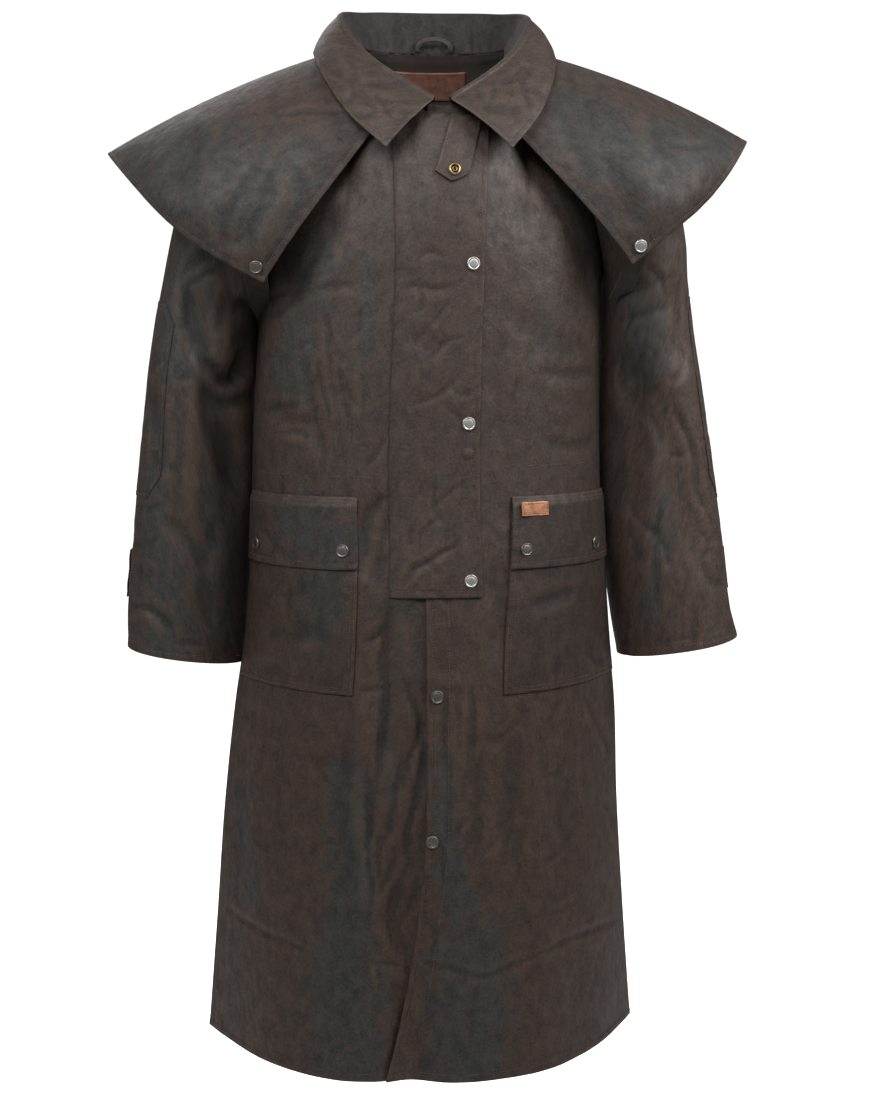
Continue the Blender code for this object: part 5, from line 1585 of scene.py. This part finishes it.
class COAT_OT_sleeves(bpy.types.Operator):
    """Builds the sleeves, their long patches and the cuff tabs"""

    bl_idname = "coat.sleeves"
    bl_label = "Sleeves"

    def relief(self, side, station, turn):
        """Front creases where the sleeve faces forward, others behind, and crumple, faded at the armhole."""
        base = sleeve(side, station, turn)
        x, drop = base[..., 0], -base[..., 2]
        ahead = np.cos(np.radians(turn))
        front = crease_relief(SLEEVE_CREASES[side], x, drop, SLEEVE_GAIN) * blend(-0.15, 0.25, ahead)
        back = crease_relief(SLEEVE_BACK_CREASES, np.abs(x), drop + 0.01 * sign_of(side))
        back = back * blend(0.1, -0.3, ahead)
        girth = SLEEVE_RADIUS * np.radians((turn - 90 + 180) % 360 - 180)
        front = front + crease_relief(SLEEVE_WRINKLES, girth, drop)
        worn = SLEEVE_CRUMPLE * crumple(girth, drop, SLEEVE_SEEDS[side])
        worn = worn * blend(1.0, 0.85, np.abs(girth) / SLEEVE_HALF_GIRTH)
        return (front + back + worn) * blend(0.0, 0.9, station)

    def patch(self, stations, turns, length, corner):
        """The grid of a patch over part of the sleeve, its corners clipped by a share of its width."""
        v, u = grid(graded(length, PATCH_STEP), graded(PATCH_WIDTH, PATCH_STEP))
        end = np.minimum(v, 1 - v) * length
        narrowed = 1 - corner * (1 - np.clip(end / CORNER_LENGTH, 0, 1))
        middle, half = sum(turns) / 2, (turns[1] - turns[0]) / 2
        return within(stations, v), middle + half * (2 * u - 1) * narrowed

    def execute(self, context):
        inset = context.scene.coat_sewing.inset
        for side, seed in (("right", 9), ("left", 13)):
            sign, tone = sign_of(side), SLEEVE_PAINTED_LIGHT[side]
            fine = np.linspace(0, 8, 600)
            run = run_along(sleeve(side, fine, np.zeros_like(fine)))
            stations = np.interp(run[-1] * graded(run[-1], SLEEVE_STEP, False, True), run, fine)
            station, turn = grid(stations, np.linspace(-90, 270, SLEEVE_COLUMNS, endpoint=False))
            base = sleeve(side, station, turn)
            normals = normals_of(base, wrap=True) * -sign
            relief = self.relief(side, station, turn) + sewn_edge(base, "last_row", HEM_INSET, 141 + seed)
            cloth = Cloth(base, normals, relief, -WALL, 0.0, wrap=True)
            lines = [line_at(cloth, "last_row", HEM_INSET)]
            cloth_piece(f"sleeve_{side}", cloth, seed, lines,
                        tone=tone)

            patch = self.patch(PATCH_STATIONS, PATCH_TURNS[side], length=0.22, corner=0.28)
            tab = self.patch(TAB_STATIONS, TAB_TURNS, length=0.062, corner=0.0)
            for name, places, gap, thick, flat, area in (
                ("sleeve_patch", patch, SEAM, WALL / 3, (0.20, 0.25), 0.035),
                ("cuff_tab", tab, SEWN_GAP, WALL, (0.15, 0.075), 0.009),
            ):
                base = sleeve(side, *places)
                seeds = dict.fromkeys(EDGES, 151 + seed)
                relief = self.relief(side, *places)
                relief = relief + sewn_edges(base, seeds, inset, pucker=0.0003, **FLAT_EDGE)
                seams = ("first_row", "first_column", "last_column")
                cloth = Cloth(base, normals_of(base) * -sign, relief, gap, gap + thick, seams=seams)
                lines = [line_at(cloth, edge, inset / 2, inset / 2, inset / 2) for edge in EDGES]
                cloth_piece(f"{name}_{side}", cloth, seed + len(name), lines,
                            tone=tone)
        return {"FINISHED"}


# Painted shade: the whole cape is darkened and its gloss dulled
CAPE_SHADE = 0.24
CAPE_DEEPEST = -0.004
CAPE_LENGTH = 0.30
CAPE_FRONT_WIDTH = 0.33
CAPE_BACK_WIDTH = 0.42
CAPE_STEP = 0.0042
CAPE_BACK_STEP = 0.0046
CAPE_WRINKLES = small_wrinkles(204, 60, (-0.34, 0.34), (0.03, 0.27), 0.0007)


class COAT_OT_cape(bpy.types.Operator):
    """Builds the shoulder cape and the bands that hold its corners"""

    bl_idname = "coat.cape"
    bl_label = "Cape"

    def execute(self, context):
        inset = context.scene.coat_sewing.inset
        steps = graded(CAPE_LENGTH, CAPE_STEP, False, True)
        for side, seed in (("right", 17), ("left", 19)):
            step, turn = grid(steps, within(CAPE_FRONT_SPAN, graded(CAPE_FRONT_WIDTH, CAPE_STEP)))
            base = cape_points(side, turn, step)
            base[:, -1, 1] -= SEAM
            normals = normals_of(base) * -sign_of(side)
            x, drop = base[..., 0], -base[..., 2]
            relief = crease_relief(CAPE_CREASES[side] + CAPE_WRINKLES, x, drop) + crumple(x, drop, 71 + seed)
            relief = relief * blend(0, 0.2, step) * blend(0, 0.02, edge_distances(base)["last_column"])
            relief = np.maximum(relief, CAPE_DEEPEST)
            seeds = dict.fromkeys(("last_row", "first_column"), 161 + seed)
            cloth = Cloth(base, normals, relief + sewn_edges(base, seeds, inset, rise=0.0003), 0.0, WALL)
            cloth.shade = CAPE_SHADE
            lines = [line_at(cloth, "last_row", inset, inset, 0.001),
                     line_at(cloth, "first_column", inset, 0.03, inset)]
            cloth_piece(f"cape_front_{side}", cloth, seed, lines)

        turns = within(CAPE_BACK_SPAN, graded(CAPE_BACK_WIDTH, CAPE_BACK_STEP, True, False))
        step, turn = grid(steps, turns)
        left = cape_points("left", turn, step)
        base = np.concatenate([cape_points("right", turn, step), left[:, -2::-1]], axis=1)
        base[:, [0, -1], 1] += SEAM
        x, drop = base[..., 0], -base[..., 2]
        relief = crease_relief(CAPE_BACK_CREASES, x, drop) + crumple(x, drop, 81)
        distances = edge_distances(base)
        away = np.minimum(distances["first_column"], distances["last_column"])
        relief = relief * blend(0, 0.2, step[:, :1]) * blend(0, 0.02, away)
        relief = np.maximum(relief, CAPE_DEEPEST) + sewn_edge(base, "last_row", inset, 171, rise=0.0003)
        cloth = Cloth(base, normals_of(base), relief, 0.0, WALL)
        cloth.shade = CAPE_SHADE
        lines = [line_at(cloth, "last_row", inset, 0.001, 0.001)]
        cloth_piece("cape_back", cloth, 23, lines)
        for side in ("right", "left"):
            self.strap(side)
        return {"FINISHED"}

    def strap(self, side):
        """A band along a smooth path from under the cape's corner to the underarm."""
        sign = sign_of(side)
        step, turn = grid(STRAP_STEPS, CAPE_CORNER_TURNS)
        patch = cape_points(side, turn, step)
        inward = normals_of(patch)[1, 1] * sign
        top, low = patch[1, 1] + inward * STRAP_UNDER_CAPE, patch[2, 1] + inward * STRAP_UNDER_CAPE
        seat = sleeve_ring(side, *grid(STRAP_STATIONS[side], STRAP_TURNS[side]))
        out = normals_of(seat)[1, 1] * -sign
        foot = seat[1, 1] + out * STRAP_OFF
        low = low + np.array([STRAP_SHIFT[side], 0.0, 0.0])
        bend = (low + foot) / 2 + inward * STRAP_SLACK / 2
        path = smooth_path([top, low, bend, foot, foot + (foot - low) * STRAP_REACH[side]], STRAP_ROWS)
        hem, foot_line = unit(patch[1, 2] - patch[1, 0]), STRAP_FOOT_LINE * np.array([sign, 1, 1])
        share = np.interp(np.linspace(0, 1, STRAP_ROWS), [0, 0.3, 0.5, 1.0], [0, 0, 1, 1])[:, None]
        across = unit(hem * (1 - share) + foot_line * share)
        points = path[:, None] + across[:, None] * np.linspace(-0.5, 0.5, 9)[None, :, None] * STRAP_WIDTH
        cloth = Cloth(points, normals_of(points) * -sign, 0.0, -STRAP_THICK / 2, STRAP_THICK / 2)
        lines = [line_at(cloth, edge, 0.0025) for edge in ("first_column", "last_column")]
        cloth_piece(f"cape_strap_{side}", cloth, 29, lines)


COLLAR_GAIN = 1.2
COLLAR_DEEPEST = -0.0015
COLLAR_WRINKLES = small_wrinkles(205, 40, (-0.13, 0.13), (-0.02, 0.13), 0.0013)


class COAT_OT_collar(bpy.types.Operator):
    """Builds the folded collar"""

    bl_idname = "coat.collar"
    bl_label = "Collar"

    def execute(self, context):
        inset = context.scene.coat_sewing.inset
        fall = 2 + graded(0.085, 0.0028, False, True)
        shares = np.concatenate([np.linspace(0, 1, 18)[:-1], np.linspace(1, 2, 10)[:-1], fall])
        turns = within(COLLAR_SPAN, graded(0.31, 0.0030, True, False))
        share, turn = grid(shares, turns)
        half = collar_points(turn, share)
        uneven = COLLAR.at("uneven", turn) * np.clip(share - 2, 0, 1)
        right, left = mirrored(half, -1.0), half.copy()
        right[..., 0] += uneven
        left[..., 0] += uneven
        base = np.concatenate([right, left[:, -2::-1]], axis=1)
        share = np.concatenate([share, share[:, -2::-1]], axis=1)
        x, drop = base[..., 0], -base[..., 2]
        relief = crease_relief(COLLAR_CREASES + COLLAR_WRINKLES, x, drop, COLLAR_GAIN)
        relief = (relief + 0.8 * crumple(x, drop, 91)) * blend(2.05, 2.4, share)
        relief = relief + 0.5 * crumple(x, drop, 93) * blend(0, 0.3, share) * blend(1.1, 0.8, share)
        gathers = lattice_noise(x / 0.008, share / 0.9, 98) + lattice_noise(x / 0.017, share, 99)
        relief = relief + 0.0009 * gathers * blend(0, 0.1, share) * blend(0.9, 0.3, share)
        edges = sewn_edges(base, dict.fromkeys(EDGES[1:], 181), inset, rise=0.0, groove=0.0002)
        relief = relief + edges * blend(2.0, 2.3, share)
        cloth = Cloth(base, normals_of(base), np.maximum(relief, COLLAR_DEEPEST), 0.0, COLLAR_WALL * 0.7)
        # Painted shade on the stand inside the neck
        cloth.shade = blend(1.9, 1.2, share)
        ends = [line_at(cloth, edge, inset, 0.08, inset) for edge in ("first_column", "last_column")]
        lines = [line_at(cloth, "last_row", inset, inset, inset)] + ends
        cloth_piece("collar", cloth, 37, lines)
        return {"FINISHED"}


class COAT_OT_neck_inside(bpy.types.Operator):
    """Builds the facing inside the neck, the bare label and the hanger loop"""

    bl_idname = "coat.neck_inside"
    bl_label = "Neck inside"

    def execute(self, context):
        level, share = grid(np.linspace(0.6, 1.0, 34), np.linspace(-NECK_SHARE, NECK_SHARE, 70))
        base, normals = torso(1, share, level), torso_normals(1, share, level)
        inside = -WALL - SNAP_GAP
        x = base[..., 0]
        relief = 0.5 * np.minimum(crumple(x, -base[..., 2], 95), 0.0)
        gathers = lattice_noise(x / 0.009, level / 0.30, 96) + lattice_noise(x / 0.021, level, 97)
        relief = relief - 0.0016 * np.clip(0.6 + gathers, 0, 2) * bell(level, 1.0, 0.05)
        base[..., 2] += 0.0045 * blend(0.95, 1.0, level)
        cloth = Cloth(base, -normals, -relief, -inside, FACING_WALL - inside)
        cloth_piece("neck_facing", cloth, None, [],
                    slot="facing_cloth")

        level, share = grid(np.linspace(*LABEL_LEVELS, 16), np.linspace(*LABEL_SHARES, 40))
        base, normals = torso(1, share, level), torso_normals(1, share, level)
        rise = FACING_WALL + SEAM - inside
        cloth = Cloth(base, -normals, 0.0, rise, rise + TAG_THICK)
        material = shared_material("brown_leather", leather, context.scene.coat_colours.label, 700.0)
        leather_piece("neck_label", cloth, "label_leather", material, LABEL_INSET)
        self.loop()
        return {"FINISHED"}

    def loop(self):
        """A narrow tape along an arch: x by the cosine, the rise by the sine to the power 0.7."""
        back_neck, back_roll = neckline(1, 0.0), COLLAR.points("roll", 180.0)
        lean = (back_roll[1] - back_neck[1]) / back_roll[2]
        gap = COLLAR_SEAM_INSET + COLLAR_WALL + LOOP_THICK + SLEEVE_GAP
        seat = back_neck + np.array([LOOP_SHIFT, -gap, LOOP_SHIFT])
        along = np.linspace(0, math.pi, 44)
        arch = np.sin(along) ** 0.7
        x = seat[0] - LOOP_HALF_SPAN * np.cos(along)
        y = seat[1] + (lean * LOOP_RISE - LOOP_STAND_OFF) * arch - (x - NECK_CENTRE_X) ** 2 / (2 * NECK_HALF)
        path = np.stack([x, y, seat[2] + LOOP_RISE * arch], axis=-1)
        across = unit((path - seat) * np.array([1.0, 0.0, 1.0]) + np.array([0, 0, LOOP_THICK]))
        points = path[:, None] + across[:, None] * np.linspace(-0.5, 0.5, 6)[None, :, None] * LOOP_WIDTH
        cloth = Cloth(points, normals_of(points), 0.0, -LOOP_THICK / 2, LOOP_THICK / 2)
        lines = [line_at(cloth, edge, 0.0012) for edge in ("first_column", "last_column")]
        cloth_piece("hanger_loop", cloth, 41, lines,
                    slot="facing_cloth")


SOCKET_STEP = 0.85
BRASS = (0.36, 0.25, 0.12)


class COAT_OT_throat_tab(bpy.types.Operator):
    """Builds the unfastened throat tab and its brass socket"""

    bl_idname = "coat.throat_tab"
    bl_label = "Throat tab"

    def execute(self, context):
        inset = context.scene.coat_sewing.inset
        step, across = grid(graded(0.088, 0.0030, False, True), 2 * graded(0.033, 0.0026) - 1)
        share = THROAT_TAB.at("share", step) + THROAT_TAB.at("half_share", step) * across
        level = THROAT_TAB.at("level", step) - THROAT_TAB.at("slant", step) * across
        level = level - THROAT_TAB.at("point", step) * (1 - np.abs(across))
        inner = storm_offset(STORM_EDGE_SHARE) + WALL + 3 * SEAM
        seeds = dict.fromkeys(EDGES[1:], 191)
        shape = {"rise": 0.0, "groove": 0.0002, "pucker": 0.0002}
        cloth = torso_cloth(-1, share, level, inner, TAB_THICK, seeds, inset / 2, **shape)
        lines = [line_at(cloth, edge, inset / 2, 0.0, inset / 2) for edge in EDGES[1:]]
        cloth_piece("throat_tab", cloth, 43, lines)
        share = THROAT_TAB.at("share", SOCKET_STEP)
        level = THROAT_TAB.at("level", SOCKET_STEP) - THROAT_TAB.at("point", SOCKET_STEP)
        seat, normal = seat_on_front(float(share), float(level), inner + TAB_THICK + 0.0001)
        socket = turned_mesh("throat_socket_brass", seat, normal, SOCKET_PROFILE, open_middle=True)
        brass = shared_material("worn_brass", metal, BRASS, 0.32, 0.45)
        place_piece(socket, "brass_socket", brass, "throat_socket")
        spring = turned_mesh("throat_socket_spring", seat, normal, SPRING_PROFILE, open_middle=True)
        place_piece(spring, "brass_socket", brass)
        return {"FINISHED"}


def turned_profile(text):
    """Pairs of radius and height, given in mm."""
    return np.array([pair.split() for pair in text.split(",")], float) / 1000


CAP_PROFILE = turned_profile("""
    2.0 2.25, 3.6 2.20, 4.7 2.05, 5.3 1.80, 5.7 1.80, 6.1 2.15, 6.6 2.35, 7.0 2.25, 7.4 1.85, 7.8 1.10,
    7.8 0.40, 7.4 0.0
""")
SOCKET_PROFILE = turned_profile("""
    4.6 1.2, 4.8 1.9, 5.3 2.3, 5.9 2.3, 6.4 2.2, 6.9 1.8, 7.2 1.2, 7.2 0.3, 6.9 0.0, 4.8 0.0, 4.6 0.4
""")
SPRING_PROFILE = turned_profile("1.7 0.6, 1.9 1.2, 2.3 1.4, 2.8 1.2, 3.0 0.6, 2.8 0.0, 1.9 0.0")
BRIGHT_CAPS = ("steel_snaps", "bright_steel", (0.46, 0.45, 0.44), 0.55)
DARK_CAPS = ("dark_snaps", "dark_steel", (0.17, 0.155, 0.14), 0.45)
STORM_SNAP_SHARE = 0.175
STORM_SNAP_LEVELS = (("top", 0.055), ("middle", -0.170), ("bottom", -0.352))
FRONT_SNAP_SHARE = 0.002
FRONT_SNAP_DROPS = (("upper", 0.766), ("lower", 0.936))
POCKET_SNAP_DROP = 0.598
POCKET_SNAPS = {
    "right": (("inner", 0.485, 0.35), ("outer", 0.930, 1.0)),
    "left": (("inner", 0.475, 0.55), ("outer", 0.880, 1.0)),
}


class COAT_OT_snaps(bpy.types.Operator):
    """Builds the plain snap caps"""

    bl_idname = "coat.snaps"
    bl_label = "Snaps"

    def cap(self, node, seat, bright):
        slot, name, colour, tarnish = BRIGHT_CAPS if bright else DARK_CAPS
        material = shared_material(name, metal, colour, 0.42, tarnish)
        place_piece(turned_mesh(f"{node}_cap", *seat, CAP_PROFILE), slot, material, node)

    def execute(self, context):
        lift = storm_offset(STORM_SNAP_SHARE) + WALL
        for place, level in STORM_SNAP_LEVELS:
            self.cap(f"storm_snap_{place}", seat_on_front(STORM_SNAP_SHARE, level, lift), True)
        for place, drop in FRONT_SNAP_DROPS:
            seat = seat_on_front(FRONT_SNAP_SHARE, UNDERARM_DROP - drop, WALL + LAP_GAP)
            self.cap(f"front_snap_{place}", seat, False)
        flap = SEWN_GAP + WALL + SEAM + FLAP_LIFT + WALL
        for side in ("right", "left"):
            sign = sign_of(side)
            for place, share, bulge in POCKET_SNAPS[side]:
                rise = flap + bulge * POCKET_BULGE
                seat = seat_on_front(sign * share, UNDERARM_DROP - POCKET_SNAP_DROP, rise)
                self.cap(f"pocket_snap_{side}_{place}", seat, False)
            snap_turn, snap_step = CAPE_SNAPS[side]
            step, turn = grid(snap_step + CAPE_SNAP_STEPS, snap_turn + CAPE_SNAP_TURNS)
            points = cape_points(side, turn, step)
            normal = normals_of(points)[1, 1] * -sign
            self.cap(f"cape_snap_{side}", (points[1, 1] + normal * WALL, normal), side == "left")
        return {"FINISHED"}


FLOOR_REACH = 14.0
FLOOR_HEIGHT = -1.50
FLOOR_GLOW = 1.2
BACKDROP_GLOW = 1.1
CAMERA_PLACE = (-0.1476, -2.2452, -0.3539)
CAMERA_TILT, CAMERA_TURN = 83.48, -4.0
WHITE = (1.0, 1.0, 1.0, 1.0)


class COAT_OT_stage(bpy.types.Operator):
    """Builds the pale floor, the soft studio lights and the camera"""

    bl_idname = "coat.stage"
    bl_label = "Stage"

    def light(self, name, place, aim, size, power, spread=180):
        """An area light that faces a point, its beam within a spread of degrees."""
        data = bpy.data.lights.new(name, "AREA")
        data.shape = "RECTANGLE"
        data.size, data.size_y = size
        data.energy = power
        data.spread = math.radians(spread)
        made = bpy.data.objects.new(name, data)
        bpy.context.scene.collection.objects.link(made)
        toward = np.array(aim, float) - np.array(place, float)
        flat = math.hypot(toward[0], toward[1])
        made.location = place
        made.rotation_euler = (math.atan2(flat, -toward[2]), 0.0, math.atan2(-toward[0], toward[1]))

    def execute(self, context):
        stage = context.scene.coat_stage
        square = ((-1, -1), (1, -1), (1, 1), (-1, 1))
        corners = np.array([(x * FLOOR_REACH, y * FLOOR_REACH, FLOOR_HEIGHT) for x, y in square])
        floor = mesh_object("floor", corners, np.array([[0, 1, 2, 3]]))
        made, tree, shader = new_material("pale_floor")
        pale = opaque(stage.floor)
        seen = add_node(tree, "ShaderNodeLightPath").outputs["Is Camera Ray"]
        glow = maths(tree, "MULTIPLY", seen, FLOOR_GLOW)
        set_inputs(tree, shader, {"Base Color": pale, "Roughness": 0.9,
                                  "Emission Color": pale, "Emission Strength": glow})
        floor.data.materials.append(made)

        self.light("key", (-0.60, -1.40, 0.90), (-0.10, 0.0, -0.10), (1.2, 0.9), stage.key, 120)
        self.light("side", (1.50, -0.90, 0.80), (0.10, -0.10, -0.15), (1.2, 0.9), stage.side, 120)
        self.light("fill", (-2.00, -0.90, 0.80), (0.0, 0.0, -0.30), (1.0, 1.0), stage.fill)
        self.light("back", (-0.6, 2.3, 1.5), (0.0, 0.1, -0.4), (2.2, 1.6), stage.rim)

        world = bpy.data.worlds.new("studio")
        world.use_nodes = True
        context.scene.world = world
        tree = world.node_tree
        surround = tree.nodes["Background"]
        set_inputs(tree, surround, {"Color": WHITE, "Strength": stage.surround})
        backdrop = add_node(tree, "ShaderNodeBackground", {"Color": WHITE, "Strength": BACKDROP_GLOW})
        path = add_node(tree, "ShaderNodeLightPath")
        chosen = add_node(tree, "ShaderNodeMixShader", {0: path.outputs["Is Camera Ray"],
                                                        1: surround.outputs[0], 2: backdrop.outputs[0]})
        tree.links.new(chosen.outputs[0], tree.nodes["World Output"].inputs["Surface"])

        data = bpy.data.cameras.new("camera")
        data.lens = stage.lens
        data.sensor_width = 36.0
        camera = bpy.data.objects.new("camera", data)
        camera.location = CAMERA_PLACE
        camera.rotation_euler = (math.radians(CAMERA_TILT), 0.0, math.radians(CAMERA_TURN))
        context.scene.collection.objects.link(camera)
        context.scene.camera = camera
        context.scene.view_settings.view_transform = "Standard"
        return {"FINISHED"}


class COAT_PT_panel(bpy.types.Panel):
    """Lists the coat's pieces and settings"""

    bl_idname = "COAT_PT_panel"
    bl_label = "Riding coat"
    bl_space_type = "VIEW_3D"
    bl_region_type = "UI"
    bl_category = "Coat"

    def draw(self, context):
        for operator in OPERATORS:
            self.layout.operator(operator.bl_idname)
        for settings in (context.scene.coat_colours, context.scene.coat_sewing, context.scene.coat_stage):
            box = self.layout.box()
            for name in settings.bl_rna.properties.keys():
                if name not in ("rna_type", "name"):
                    box.prop(settings, name)


SETTINGS = (("coat_colours", CoatColours), ("coat_sewing", CoatSewing), ("coat_stage", CoatStage))
OPERATORS = (COAT_OT_fronts, COAT_OT_back, COAT_OT_storm_flap, COAT_OT_pockets, COAT_OT_sleeves, COAT_OT_cape,
             COAT_OT_collar, COAT_OT_neck_inside, COAT_OT_throat_tab, COAT_OT_snaps, COAT_OT_stage)


def register():
    for name, settings in SETTINGS:
        bpy.utils.register_class(settings)
        setattr(bpy.types.Scene, name, bpy.props.PointerProperty(type=settings))
    for operator in OPERATORS:
        bpy.utils.register_class(operator)
    bpy.utils.register_class(COAT_PT_panel)


def unregister():
    bpy.utils.unregister_class(COAT_PT_panel)
    for operator in reversed(OPERATORS):
        bpy.utils.unregister_class(operator)
    for name, settings in reversed(SETTINGS):
        delattr(bpy.types.Scene, name)
        bpy.utils.unregister_class(settings)


def main():
    register()
    bpy.ops.coat.fronts()
    bpy.ops.coat.back()
    bpy.ops.coat.storm_flap()
    bpy.ops.coat.pockets()
    bpy.ops.coat.sleeves()
    bpy.ops.coat.cape()
    bpy.ops.coat.collar()
    bpy.ops.coat.neck_inside()
    bpy.ops.coat.throat_tab()
    bpy.ops.coat.snaps()
    bpy.ops.coat.stage()


if __name__ == "__main__":
    main()
